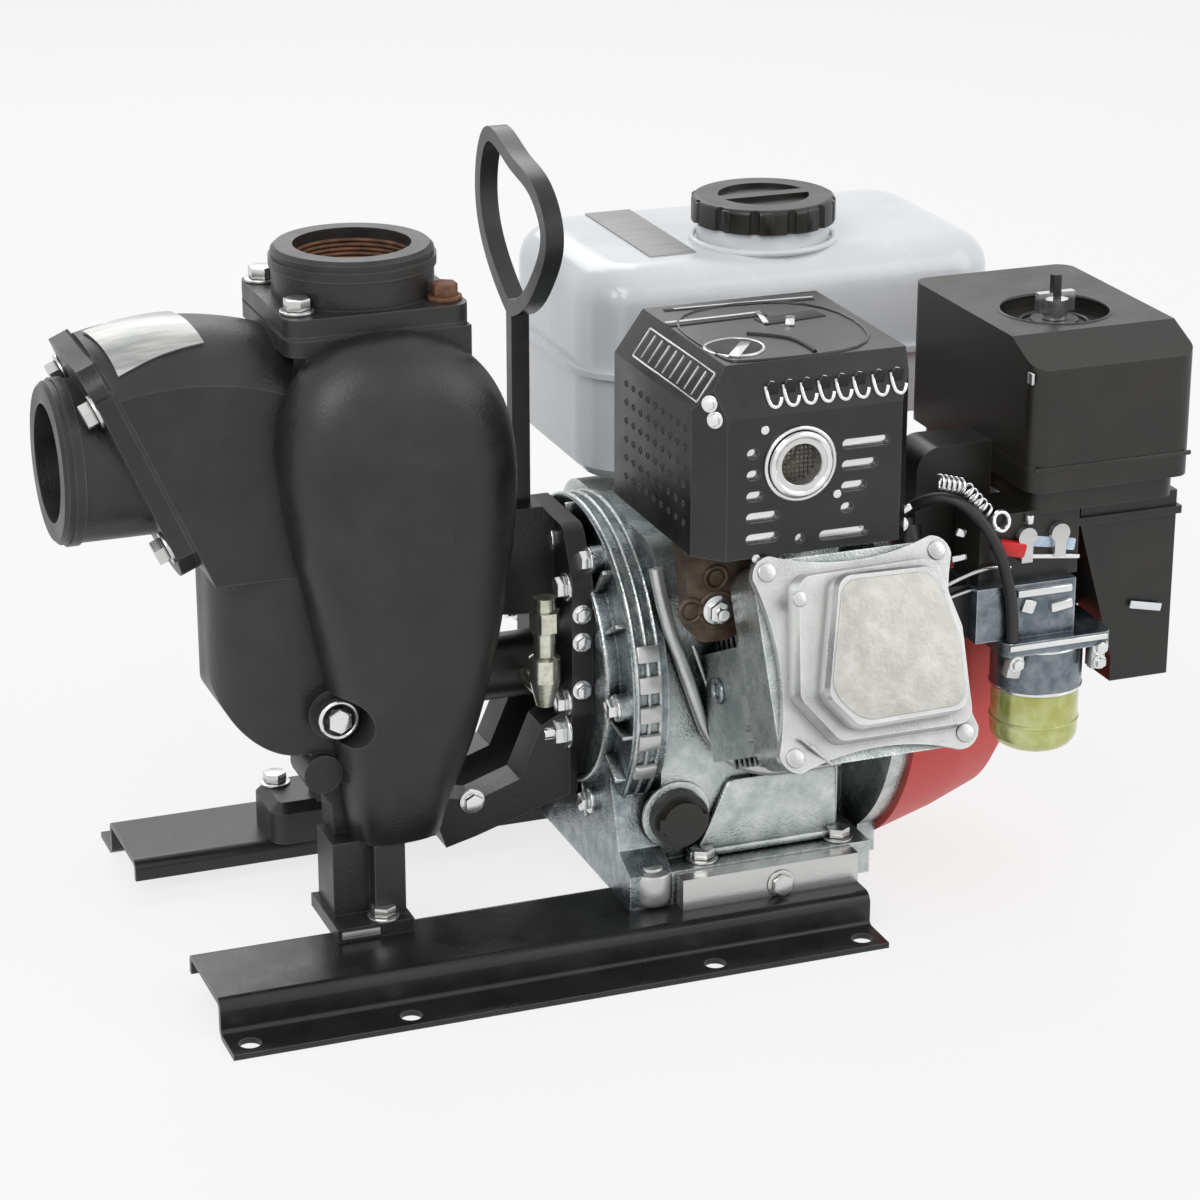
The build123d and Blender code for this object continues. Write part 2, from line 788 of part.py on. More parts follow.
# Drain fitting: turned body with a cone below, a ring, a hexagon and a side stem to the seal
fit_low, fit_high = fitting_z
with BuildPart() as drain_fitting:
    with BuildSketch(Plane.XZ):
        with BuildLine():
            Polyline(
                (0, fit_low),
                (fitting_tip_radius, fit_low),
                (fitting_radius, fit_low + fitting_cone_height),
                (fitting_radius, fit_low + fitting_body_height),
                (fitting_neck_radius, fit_low + fitting_neck_height),
                (fitting_neck_radius, fit_high),
                (0, fit_high),
                close=True,
            )
        make_face()
    revolve(axis=Axis.Z)
    with BuildSketch(Plane.XY.offset(fit_high - fitting_hexagon_drop)):
        RegularPolygon(fitting_radius, 6)
    extrude(amount=fitting_hexagon_height)
    with BuildSketch(Plane.XZ):
        with Locations((0, shaft_z)):
            Circle(fitting_stem_radius)
    extrude(amount=fitting_y + adaptor_hub_radius)
drain_fitting.part.locate(Location((fitting_x, fitting_y, 0)))
finish(drain_fitting, "drain_fitting")

# Lifting handle: a bent bar that closes in a teardrop loop
with BuildPart() as lift_handle:
    with BuildSketch(Plane.YZ.offset(handle_x - handle_width / 2)):
        with BuildLine():
            Spline(*handle_path, periodic=True)
        trace(line_width=handle_bar)
        with Locations((handle_stem_y, middle((adaptor_top_z, handle_loop_z)))):
            Rectangle(handle_bar, handle_loop_z - adaptor_top_z)
    extrude(amount=handle_width)
finish(lift_handle, "lift_handle")

# Crankcase on its base
base_half_width = base_bolt_y + base_bolt_margin
base_holes = [(x, y) for x in base_bolt_x for y in (-base_bolt_y, base_bolt_y)]
with BuildPart() as crankcase:
    with BuildSketch(Plane.XY.offset(rail_top_z)):
        with Locations((middle(base_x), 0)):
            Rectangle(span(base_x), 2 * base_half_width)
    extrude(amount=base_thickness)
    with BuildSketch(Plane.XY.offset(rail_top_z)):
        with Locations((middle(crankcase_x), 0)):
            Rectangle(span(crankcase_x), 2 * crankcase_half_width)
    extrude(amount=crankcase_top_z - rail_top_z)
    fillet(crankcase.edges().filter_by(Axis.X).group_by(Axis.Z)[-1], crankcase_top_radius)
    with BuildSketch(Plane.YZ.offset(crankcase_x[1])):
        with Locations((0, middle((rail_top_z, crankcase_neck_top_z)))):
            Rectangle(2 * crankcase_neck_half_width, crankcase_neck_top_z - rail_top_z)
    extrude(amount=shroud_x[0] - crankcase_x[1])
    with BuildSketch(Plane.XY.offset(rail_top_z)):
        with Locations(*base_holes):
            Circle(base_bolt_radius)
    extrude(amount=base_thickness, mode=Mode.SUBTRACT)
finish(crankcase, "crankcase")

# Crankcase cover: a dished disc with bosses and a foot that widens to the base
with BuildPart() as crankcase_cover:
    with BuildSketch(Plane.YZ.offset(engine_face_x + cover_rim_width)):
        with Locations((0, shaft_z)):
            Circle(cover_radius)
    extrude(amount=crankcase_x[0] - engine_face_x - cover_rim_width)
    with BuildSketch(Plane.YZ.offset(engine_face_x)):
        with Locations((0, shaft_z)):
            Circle(cover_face_radius)
            with PolarLocations(cover_radius - cover_boss_inset - cover_boss_radius, cover_boss_count):
                Circle(cover_boss_radius)
    extrude(amount=cover_rim_width)
    with BuildSketch(Plane.YZ.offset(cover_foot_left_x)):
        with BuildLine():
            Polyline(
                (-base_half_width, rail_top_z),
                (base_half_width, rail_top_z),
                (base_half_width, rail_top_z + base_thickness),
                (crankcase_half_width, cover_foot_shoulder_z),
                (cover_foot_top_y, cover_foot_top_z),
                (-cover_foot_top_y, cover_foot_top_z),
                (-crankcase_half_width, cover_foot_shoulder_z),
                (-base_half_width, rail_top_z + base_thickness),
                close=True,
            )
        make_face()
    extrude(amount=crankcase_x[0] - cover_foot_left_x)
finish(crankcase_cover, "crankcase_cover")

with BuildPart() as engine_mount_bar:
    with BuildSketch(Plane.XY.offset(rail_top_z)):
        with Locations((middle(mount_bar_x), -base_half_width - mount_bar_depth / 2)):
            Rectangle(span(mount_bar_x), mount_bar_depth)
    extrude(amount=mount_bar_height)
finish(engine_mount_bar, "engine_mount_bar")

with BuildPart() as rear_mount_bar:
    with BuildSketch(Plane.XY.offset(rail_top_z)):
        with Locations((middle(mount_bar_x), base_half_width + mount_bar_depth / 2)):
            Rectangle(span(mount_bar_x), mount_bar_depth)
    extrude(amount=mount_bar_height)
finish(rear_mount_bar, "rear_mount_bar")

# Cylinder: barrel with cooling fins and the pushrod gallery, cut off at the crankcase
fin_count = int((cylinder_depth - head_depth - fin_margin) // fin_pitch)
with BuildPart() as cylinder:
    with BuildSketch(tilted(cylinder_depth)):
        Rectangle(*[side - 2 * cylinder_barrel_inset for side in cylinder_size])
    extrude(amount=cylinder_depth - head_depth)
    for step in range(fin_count):
        with BuildSketch(tilted(head_depth + fin_margin + step * fin_pitch)):
            Rectangle(*cylinder_size)
        extrude(amount=-fin_thickness)
    with BuildSketch(tilted(head_depth)):
        with Locations((cylinder_barrel_inset - (cylinder_size[0] + gallery_width) / 2, gallery_shift)):
            Rectangle(gallery_width, gallery_height)
    extrude(amount=head_depth - cylinder_depth)
    split(bisect_by=Plane.XZ.offset(crankcase_half_width), keep=Keep.TOP)
finish(cylinder, "cylinder")

head_right_x = rocker_centre[0] + rocker_shift[0] + head_size[0] / 2
with BuildPart() as cylinder_head:
    with BuildSketch(tilted(rocker_flange_depth)):
        with Locations(rocker_shift):
            RectangleRounded(*head_size, head_corner)
    extrude(amount=-(head_depth - rocker_flange_depth))
finish(cylinder_head, "cylinder_head")

# Rocker cover: flange with pinched sides, a step and a raised panel
pinch_chord = min(rocker_flange_size) / 2 - rocker_flange_corner
pinch_radius = (pinch_chord ** 2 + rocker_waist ** 2) / (2 * rocker_waist)
pinch_reach = min(rocker_flange_size) / 2 + pinch_radius - rocker_waist
with BuildPart() as rocker_cover:
    with BuildSketch(tilted(rocker_flange_depth)):
        with Locations(rocker_shift):
            RectangleRounded(*rocker_flange_size, rocker_flange_corner)
            with PolarLocations(pinch_reach, 4):
                Circle(pinch_radius, mode=Mode.SUBTRACT)
    extrude(amount=rocker_flange_depth - rocker_cover_depth)
    with BuildSketch(tilted(rocker_cover_depth)) as step_outline:
        with BuildLine():
            Polyline(*rocker_step, close=True)
        make_face()
        fillet(step_outline.vertices(), rocker_panel_corner)
    extrude(amount=rocker_cover_depth - rocker_step_depth, taper=rocker_draft)
    with BuildSketch(tilted(rocker_step_depth)) as panel_outline:
        with BuildLine():
            Polyline(*rocker_panel, close=True)
        make_face()
        fillet(panel_outline.vertices(), rocker_panel_corner)
    extrude(amount=rocker_step_depth - rocker_panel_depth)
    with BuildSketch(tilted(rocker_panel_depth)) as panel_face:
        with BuildLine():
            Polyline(*rocker_panel, close=True)
        make_face()
        fillet(panel_face.vertices(), rocker_panel_corner)
    extrude(amount=rocker_panel_depth, taper=2 * rocker_draft)
finish(rocker_cover, "rocker_cover")

# Muffler, its guard and the exhaust flange
muffler_x = (guard_x[0] + muffler_gap, guard_x[1] - muffler_gap)
muffler_y = (guard_y[0] + 2 * muffler_gap, guard_y[1] - muffler_gap)
muffler_z = (guard_z[0] + muffler_gap, guard_z[1] - muffler_top_gap)
with BuildPart() as muffler:
    with BuildSketch(Plane.XZ.offset(-muffler_y[1])):
        with Locations((middle(muffler_x), middle(muffler_z))):
            RectangleRounded(span(muffler_x), span(muffler_z), muffler_corner)
    extrude(amount=span(muffler_y))
    with BuildSketch(Plane.XZ.offset(-muffler_y[0])):
        with Locations((tail_x, tail_z)):
            Circle(tail_outer_radius)
    extrude(amount=muffler_y[0] - guard_y[0] + tail_reach)
    with BuildSketch(Plane.XZ.offset(-muffler_y[0])):
        with Locations(*guard_bosses):
            Circle(guard_boss_radius)
    extrude(amount=muffler_y[0] - guard_y[0] - guard_sheet)
    with BuildSketch(Plane.XZ.offset(-guard_y[0] + tail_reach)):
        with Locations((tail_x, tail_z)):
            Circle(tail_bore_radius)
    extrude(amount=-tail_bore_depth, mode=Mode.SUBTRACT)
finish(muffler, "muffler")

# Guard: folded sheet with bevelled corners, open below, slots in its front, side and top
left_edge_x, left_edge_z = guard_side_chamfer
front_edge_y, front_edge_z = guard_front_chamfer
with BuildPart() as muffler_guard:
    with BuildSketch(Plane.XY.offset(guard_z[0])) as guard_plan:
        with Locations((middle(guard_x), middle(guard_y))):
            Rectangle(span(guard_x), span(guard_y))
        front_corners = guard_plan.vertices().group_by(Axis.Y)[0].sort_by(Axis.X)
        chamfer(front_corners[0], guard_corner_chamfer)
        chamfer(front_corners[1], guard_right_chamfer)
    extrude(amount=span(guard_z))
    with BuildSketch(Plane.XZ.offset(-guard_y[1])):
        with BuildLine():
            Polyline(
                (guard_x[0], guard_z[1] - left_edge_z),
                (guard_x[0] + left_edge_x, guard_z[1]),
                (guard_x[0], guard_z[1]),
                close=True,
            )
        make_face()
    extrude(amount=span(guard_y), mode=Mode.SUBTRACT)
    with BuildSketch(Plane.YZ.offset(guard_x[0])):
        with BuildLine():
            Polyline(
                (guard_y[0], guard_z[1] - front_edge_z),
                (guard_y[0] + front_edge_y, guard_z[1]),
                (guard_y[0], guard_z[1]),
                close=True,
            )
        make_face()
    extrude(amount=span(guard_x), mode=Mode.SUBTRACT)
    bottom = muffler_guard.faces().sort_by(Axis.Z)[0]
    offset(amount=-guard_sheet, openings=bottom)
    with BuildSketch(Plane.XZ.offset(-guard_y[0])):
        with Locations((tail_x, tail_z)):
            Circle(tail_outer_radius + tail_guard_gap)
        for length, row in right_slots:
            with Locations((right_slot_start_x + length / 2, right_slot_top_z - row * slot_rise)):
                SlotOverall(length, slot_height)
        for length, row in left_slots:
            with Locations((left_slot_start_x + length / 2, left_slot_top_z - row * slot_rise)):
                SlotOverall(length, slot_height)
        with Locations(low_slot_place):
            SlotOverall(low_slot_length, slot_height)
        with Locations(low_hole_place):
            Circle(slot_height / 2)
    extrude(amount=-guard_sheet, mode=Mode.SUBTRACT)
finish(muffler_guard, "muffler_guard")

with BuildPart() as exhaust_flange:
    with BuildSketch(Plane.XZ.offset(-exhaust_y[1])) as flange_outline:
        with BuildLine():
            Polyline(
                (exhaust_x[0], muffler_z[0]),
                (exhaust_x[0] + exhaust_taper, exhaust_bottom_z),
                (exhaust_x[1] - exhaust_taper, exhaust_bottom_z),
                (exhaust_x[1], muffler_z[0]),
                close=True,
            )
        make_face()
        fillet(flange_outline.vertices().group_by(Axis.Y)[0], exhaust_corner)
    extrude(amount=span(exhaust_y))
finish(exhaust_flange, "exhaust_flange")

# Fuel tank, its seat and its cap
with BuildPart() as fuel_tank:
    with BuildSketch(Plane.XY.offset(tank_z[0])):
        with Locations((middle(tank_x), middle(tank_y))):
            RectangleRounded(span(tank_x), span(tank_y), tank_corner)
    extrude(amount=span(tank_z))
    fillet(fuel_tank.edges().group_by(Axis.Z)[-1], tank_top_radius)
    chamfer(fuel_tank.edges().group_by(Axis.Z)[0], tank_bottom_chamfer)
    with BuildSketch(Plane.XY.offset(tank_z[0])):
        with Locations((middle((tank_step_x, tank_x[1])), middle(tank_y))):
            Rectangle(tank_x[1] - tank_step_x, span(tank_y))
    extrude(amount=tank_step_z - tank_z[0], mode=Mode.SUBTRACT)
    with BuildSketch(Plane.XY.offset(tank_seam_z)):
        with Locations((middle(tank_x), middle(tank_y))):
            RectangleRounded(
                span(tank_x) + 2 * tank_seam_width,
                span(tank_y) + 2 * tank_seam_width,
                tank_corner + tank_seam_width,
            )
    extrude(amount=tank_seam_height)
    with BuildSketch(Plane.XY.offset(tank_z[1])):
        with Locations((cap_x, cap_y)):
            Circle(neck_radius)
    extrude(amount=neck_height)
finish(fuel_tank, "fuel_tank")

with BuildPart() as tank_bracket:
    with BuildSketch(Plane.XY.offset(crankcase_top_z)):
        with Locations(bracket_centre):
            Rectangle(*bracket_size)
    extrude(amount=tank_z[0] - crankcase_top_z)
finish(tank_bracket, "tank_bracket")

cap_bottom_z = tank_z[1] + neck_height + fit_gap
with BuildPart() as fuel_cap:
    with BuildSketch(Plane.XY.offset(cap_bottom_z)):
        with Locations((cap_x, cap_y)):
            Circle(cap_radius)
    extrude(amount=cap_height)
    fillet(fuel_cap.edges().group_by(Axis.Z)[-1], cap_edge)
    with BuildSketch(Plane.XY.offset(cap_bottom_z + cap_height - cap_dish_depth)):
        with Locations((cap_x, cap_y)):
            Circle(cap_dish_radius)
            Rectangle(2 * cap_dish_radius, cap_bar_width, mode=Mode.SUBTRACT)
    extrude(amount=cap_dish_depth, mode=Mode.SUBTRACT)
    with BuildSketch(Plane.XY.offset(cap_bottom_z)):
        with Locations((cap_x, cap_y)):
            with PolarLocations(cap_radius + cap_notch_reach, cap_notch_count):
                Circle(cap_notch_radius)
    extrude(amount=cap_height, mode=Mode.SUBTRACT)
finish(fuel_cap, "fuel_cap")

# Shroud plate, fan housing, recoil starter and its grip
fan_y, fan_z = fan_centre
with BuildPart() as flywheel_shroud:
    with BuildSketch(Plane.YZ.offset(shroud_x[0])):
        with Locations((fan_y, fan_z)):
            Circle(shroud_radius)
        with Locations((0, middle((rail_top_z, fan_z)))):
            Rectangle(2 * shroud_foot_half_width, fan_z - rail_top_z)
    extrude(amount=span(shroud_x))
finish(flywheel_shroud, "flywheel_shroud")

with BuildPart() as fan_housing:
    with BuildSketch(Plane.XZ.offset(-fan_y)):
        with BuildLine():
            Polyline(
                (fan_profile[0][0], fan_z),
                *[(x, fan_z + r) for x, r in fan_profile],
                (fan_face_x, fan_z + fan_profile[-1][1] - fan_shoulder),
                (fan_face_x, fan_z),
                close=True,
            )
        make_face()
    revolve(axis=Axis((0, fan_y, fan_z), (1, 0, 0)))
finish(fan_housing, "fan_housing")

with BuildPart() as recoil_starter:
    with BuildSketch(Plane.YZ.offset(fan_face_x)):
        with Locations((fan_y, fan_z)):
            Circle(recoil_radius)
    extrude(amount=recoil_x - fan_face_x)
    chamfer(recoil_starter.edges().group_by(Axis.X)[-1], recoil_edge)
    with BuildSketch(Plane.YZ.offset(recoil_x - recoil_cup_depth)):
        with Locations((fan_y, fan_z)):
            Circle(recoil_cup_radius)
    extrude(amount=recoil_cup_depth, mode=Mode.SUBTRACT)
finish(recoil_starter, "recoil_starter")

with BuildPart() as starter_grip:
    with BuildSketch(Plane.XY.offset(fan_z + recoil_radius + fit_gap)):
        with Locations((grip_place[0], fan_y)):
            RectangleRounded(grip_size[0], grip_size[1], grip_size[0] / 3)
    extrude(amount=grip_size[2])
finish(starter_grip, "starter_grip")

# Air cleaner
cleaner_middle = (middle(cleaner_x), middle(cleaner_y))
cleaner_base_sides = [span(side) - 2 * cleaner_base_inset for side in (cleaner_x, cleaner_y)]
slope_back, slope_drop = cleaner_front_slope
with BuildPart() as air_cleaner_base:
    with BuildSketch(Plane.XY.offset(cleaner_base_z)):
        with Locations(cleaner_middle):
            RectangleRounded(*cleaner_base_sides, cleaner_corner)
    extrude(amount=cleaner_base_taper_z)
    with BuildSketch(Plane.XY.offset(cleaner_base_z + cleaner_base_taper_z)):
        with Locations(cleaner_middle):
            RectangleRounded(span(cleaner_x), span(cleaner_y), cleaner_corner)
    extrude(amount=cleaner_split_z - cleaner_base_z - cleaner_base_taper_z)
finish(air_cleaner_base, "air_cleaner_base")

with BuildPart() as air_cleaner_cover:
    with BuildSketch(Plane.XY.offset(cleaner_split_z)):
        with Locations(cleaner_middle):
            RectangleRounded(span(cleaner_x), span(cleaner_y), cleaner_corner)
    extrude(amount=cleaner_top_z - cleaner_split_z)
    with BuildSketch(Plane.YZ.offset(cleaner_x[0])):
        with BuildLine():
            Polyline(
                (cleaner_y[0], cleaner_top_z - slope_drop),
                (cleaner_y[0] + slope_back, cleaner_top_z),
                (cleaner_y[0], cleaner_top_z),
                close=True,
            )
        make_face()
    extrude(amount=span(cleaner_x), mode=Mode.SUBTRACT)
    with BuildSketch(Plane.XY.offset(cleaner_top_z - recess_depth)):
        with Locations((recess_x, recess_y)):
            Circle(recess_radius)
    extrude(amount=recess_depth, mode=Mode.SUBTRACT)
    with BuildSketch(Plane.XY.offset(cleaner_top_z - recess_depth)):
        with Locations((recess_x, recess_y)):
            Circle(recess_floor_radius)
    extrude(amount=recess_depth / 3)
    with BuildSketch(Plane.XY.offset(cleaner_top_z - recess_depth)):
        with Locations((recess_x, recess_y)):
            Circle(stud_radius)
    extrude(amount=recess_depth + stud_height)
finish(air_cleaner_cover, "air_cleaner_cover")

nut_bottom_z = cleaner_top_z - 2 * recess_depth / 3 + fit_gap
with BuildPart() as wing_nut:
    with BuildSketch(Plane.XY.offset(nut_bottom_z)):
        with Locations((recess_x, recess_y)):
            Circle(nut_hub_radius)
            Circle(stud_radius + nut_clearance, mode=Mode.SUBTRACT)
    extrude(amount=nut_height)
    with BuildSketch(Plane.XY.offset(nut_bottom_z + nut_height / 3)):
        with Locations((recess_x, recess_y)):
            Rectangle(wing_length, wing_thickness)
            Circle(stud_radius + nut_clearance, mode=Mode.SUBTRACT)
    extrude(amount=nut_height)
finish(wing_nut, "wing_nut")

# Inlet duct with two bands and a narrower lip
with BuildPart() as air_duct:
    with BuildSketch(Plane.XY.offset(cleaner_base_z - duct_band_height)):
        with Locations((middle(duct_x), middle(duct_y))):
            Rectangle(span(duct_x), span(duct_y))
    extrude(amount=duct_band_height)
    with BuildSketch(Plane.XZ.offset(-duct_y[1])):
        with BuildLine():
            Polyline(
                (duct_x[0], cleaner_base_z - duct_band_height),
                (duct_lip_x, duct_shoulder_z),
                (duct_lip_x, duct_bottom_z),
                (duct_x[1], duct_bottom_z),
                (duct_x[1], cleaner_base_z - duct_band_height),
                close=True,
            )
        make_face()
    extrude(amount=span(duct_y))
    with BuildSketch(Plane.XY.offset(cleaner_base_z - duct_band_height)):
        with Locations((middle(duct_x), middle(duct_y))):
            Rectangle(span(duct_x) + 2 * duct_band, span(duct_y) + 2 * duct_band)
    extrude(amount=duct_band_height / 3)
finish(air_duct, "air_duct")

# Elbow between the cylinder head's side and the air cleaner
elbow_back_y = control_y[1] + fit_gap + elbow_depth
with BuildPart() as cleaner_elbow:
    with BuildSketch(Plane.XZ.offset(-elbow_back_y)) as elbow_side:
        with Locations((middle(elbow_x), middle(elbow_z))):
            Rectangle(span(elbow_x), span(elbow_z))
        fillet(elbow_side.vertices().group_by(Axis.X)[0], elbow_corner)
    extrude(amount=elbow_depth)
finish(cleaner_elbow, "cleaner_elbow")

# Carburettor group
with BuildPart() as carburettor:
    with BuildSketch(Plane.XY.offset(carb_body_z[0])):
        with Locations((middle(carb_body_x), carb_y)):
            Rectangle(span(carb_body_x), 2 * carb_half_depth)
    extrude(amount=span(carb_body_z))
    with BuildSketch(Plane.XY.offset(carb_plate_z[0])) as carb_plate:
        with Locations((middle(carb_plate_x), carb_y)):
            Rectangle(span(carb_plate_x), 2 * carb_plate_half_depth)
        fillet(carb_plate.vertices(), control_corner)
    extrude(amount=span(carb_plate_z))
finish(carburettor, "carburettor")

with BuildPart() as bowl_body:
    with BuildSketch(Plane.XY.offset(bowl_split_z)):
        with Locations((carb_x, carb_y)):
            Circle(bowl_radius)
    extrude(amount=carb_plate_z[0] - bowl_split_z)
finish(bowl_body, "bowl_body")

with BuildPart() as float_bowl:
    with BuildSketch(Plane.XY.offset(bowl_bottom_z)):
        with Locations((carb_x, carb_y)):
            Circle(bowl_radius - bowl_lip)
    extrude(amount=bowl_split_z - bowl_bottom_z)
    fillet(float_bowl.edges().group_by(Axis.Z)[0], bowl_edge)
finish(float_bowl, "float_bowl")

with BuildPart() as intake_spacer:
    with BuildSketch(Plane.XY.offset(carb_body_z[0])):
        with Locations((middle((head_right_x, carb_body_x[0])), carb_y + spacer_shift)):
            Rectangle(carb_body_x[0] - head_right_x, 2 * spacer_half_depth)
    extrude(amount=span(carb_body_z))
finish(intake_spacer, "intake_spacer")

with BuildPart() as control_box:
    with BuildSketch(Plane.XY.offset(control_z[0])) as box_plan:
        with Locations((middle(control_x), middle(control_y))):
            Rectangle(span(control_x), span(control_y))
        fillet(box_plan.vertices().group_by(Axis.Y)[-1], control_corner)
    extrude(amount=span(control_z))
finish(control_box, "control_box")

choke_lever = make_lever(choke_pivot_x, choke_length)
fuel_valve_lever = make_lever(fuel_pivot_x, fuel_length)
finish(choke_lever, "choke_lever")
finish(fuel_valve_lever, "fuel_valve_lever")

# Oil filler cap on the crankcase's front
with BuildPart() as oil_filler_cap:
    with BuildSketch(Plane.XZ.offset(crankcase_half_width + fit_gap)):
        with Locations((oil_cap_x, oil_cap_z)):
            Circle(oil_cap_radius)
    extrude(amount=oil_cap_height - oil_cap_rim)
    with BuildSketch(Plane.XZ.offset(crankcase_half_width + fit_gap + oil_cap_height - oil_cap_rim)):
        with Locations((oil_cap_x, oil_cap_z)):
            Circle(oil_cap_radius - oil_cap_rim)
            Rectangle(2 * oil_cap_radius - oil_cap_rim, oil_cap_bar)
    extrude(amount=oil_cap_rim)
finish(oil_filler_cap, "oil_filler_cap")

# Spark plug cap on the head's upper side
plug_seat = tilted(plug_cap_depth)
plug_place = plug_seat.from_local_coords((plug_cap_x, rocker_shift[1] + head_size[1] / 2, 0))
plug_plane = Plane(origin=plug_place, x_dir=(1, 0, 0), z_dir=plug_seat.y_dir)
with BuildPart() as spark_plug_cap:
    with BuildSketch(plug_plane):
        Circle(plug_cap_radius)
    extrude(amount=plug_cap_length)
    with BuildSketch(plug_plane.offset(plug_cap_length)):
        Circle(plug_neck_radius)
    extrude(amount=plug_neck_length)
finish(spark_plug_cap, "spark_plug_cap")

# Ignition lead from the plug cap, over the carburettor's front
lead_start = plug_plane.offset(plug_cap_length + plug_neck_length).origin
lead_turn = plug_plane.offset(plug_cap_length + plug_neck_length + lead_rise).origin
lead_end = (lead_points[-1][0], lead_points[-1][1], carb_plate_z[1])
with BuildPart() as ignition_lead:
    with BuildLine() as lead_route:
        FilletPolyline(lead_start, lead_turn, *lead_points, lead_end, radius=lead_bends)
    with BuildSketch(Plane(origin=lead_route.line @ 0, z_dir=lead_route.line % 0)):
        Circle(lead_radius)
    sweep(path=lead_route.line)
finish(ignition_lead, "ignition_lead")
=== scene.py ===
"""Looks of an engine-driven water pump on two steel rails.

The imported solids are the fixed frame. This script dresses them with procedural
finishes, adds the small fasteners and trim, and sets the camera, floor and lights.
Metres, +Z up, +X along the shaft, -Y towards the side with the cylinder head.
The fields of the classes are millimetres; the makers of pieces turn them into metres.
"""
import json
import logging
import math
from dataclasses import dataclass
from enum import Enum

import bmesh
import bpy
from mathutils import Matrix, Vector


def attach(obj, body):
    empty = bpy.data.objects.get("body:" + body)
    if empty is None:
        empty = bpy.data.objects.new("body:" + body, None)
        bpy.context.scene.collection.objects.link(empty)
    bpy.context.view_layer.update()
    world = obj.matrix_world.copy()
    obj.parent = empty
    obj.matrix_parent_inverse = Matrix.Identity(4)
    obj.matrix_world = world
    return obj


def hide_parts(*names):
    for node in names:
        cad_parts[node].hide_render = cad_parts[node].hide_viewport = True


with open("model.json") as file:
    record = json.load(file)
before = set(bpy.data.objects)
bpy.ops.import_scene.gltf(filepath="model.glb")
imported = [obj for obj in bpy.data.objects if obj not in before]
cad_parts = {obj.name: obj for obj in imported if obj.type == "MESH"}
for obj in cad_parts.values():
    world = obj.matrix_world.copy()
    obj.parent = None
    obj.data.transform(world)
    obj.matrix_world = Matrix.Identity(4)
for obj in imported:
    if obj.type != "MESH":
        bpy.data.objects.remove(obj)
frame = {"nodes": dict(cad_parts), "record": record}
logging.basicConfig(level=logging.INFO, format="%(name)s: %(message)s")
log = logging.getLogger("water_pump")

MM = 0.001
Colour = tuple[float, float, float]
Point = tuple[float, float, float]
Socket = bpy.types.NodeSocket
Values = dict[str | int, object]

# Finishes: brushed grain, where patches begin and end, painted shade in the creases, and bright edges of wear
# with painted highlight
WHITE = (1.0, 1.0, 1.0, 1.0)
BRUSH_STRETCH = (0.12, 1.0, 1.0)
PATCH_LEVELS = (0.38, 0.72)
ROUGHNESS_SWING = 0.08
CREASE_LEVELS = (0.75, 0.30)
EDGE_LEVELS = (0.99, 0.86)

# Shares of a bolt: washer and hexagon by the width across the flats, the rest by height
WASHER_REACH = 0.74
CORNER_REACH = 0.577
STUD_REACH = 0.30
WASHER_SHARE = 0.22
NUT_SHARE = 0.62
RIM_SHARE = 0.3

# Edges sharper than this stay sharp, degrees
SHARP_EDGE = 35.0
WIRE_EDGE = 60.0

LEFT: Point = (-1.0, 0.0, 0.0)
FRONT: Point = (0.0, -1.0, 0.0)
BACK: Point = (0.0, 1.0, 0.0)
UP: Point = (0.0, 0.0, 1.0)
DOWN: Point = (0.0, 0.0, -1.0)


class Pattern(Enum):
    """How a finish varies over the surface."""

    CAST = "cast"
    SHEET = "sheet"
    MOULDED = "moulded"
    BRUSHED = "brushed"


class Graph:
    """Shader nodes of a material or world, added and joined in few words."""

    def __init__(self, tree: bpy.types.NodeTree) -> None:
        """Take the tree that the nodes go into."""
        self.nodes = tree.nodes
        self.links = tree.links

    def fill(self, node: bpy.types.Node, values: Values) -> None:
        """Set sockets of a node to constants, or join them to other sockets.

        Args:
            node: The node.
            values: Its sockets, and a constant or another node's socket for each.
        """
        for name, value in values.items():
            if isinstance(value, bpy.types.NodeSocket):
                self.links.new(value, node.inputs[name])
            else:
                node.inputs[name].default_value = value

    def add(self, kind: str, values: Values | None = None, operation: str = "") -> bpy.types.Node:
        """Add a node.

        Args:
            kind: Its kind.
            values: Its sockets, and a constant or another node's socket for each.
            operation: What a maths node does.

        Returns:
            The node.
        """
        node = self.nodes.new(kind)
        if operation:
            node.operation = operation
        self.fill(node, values or {})
        return node


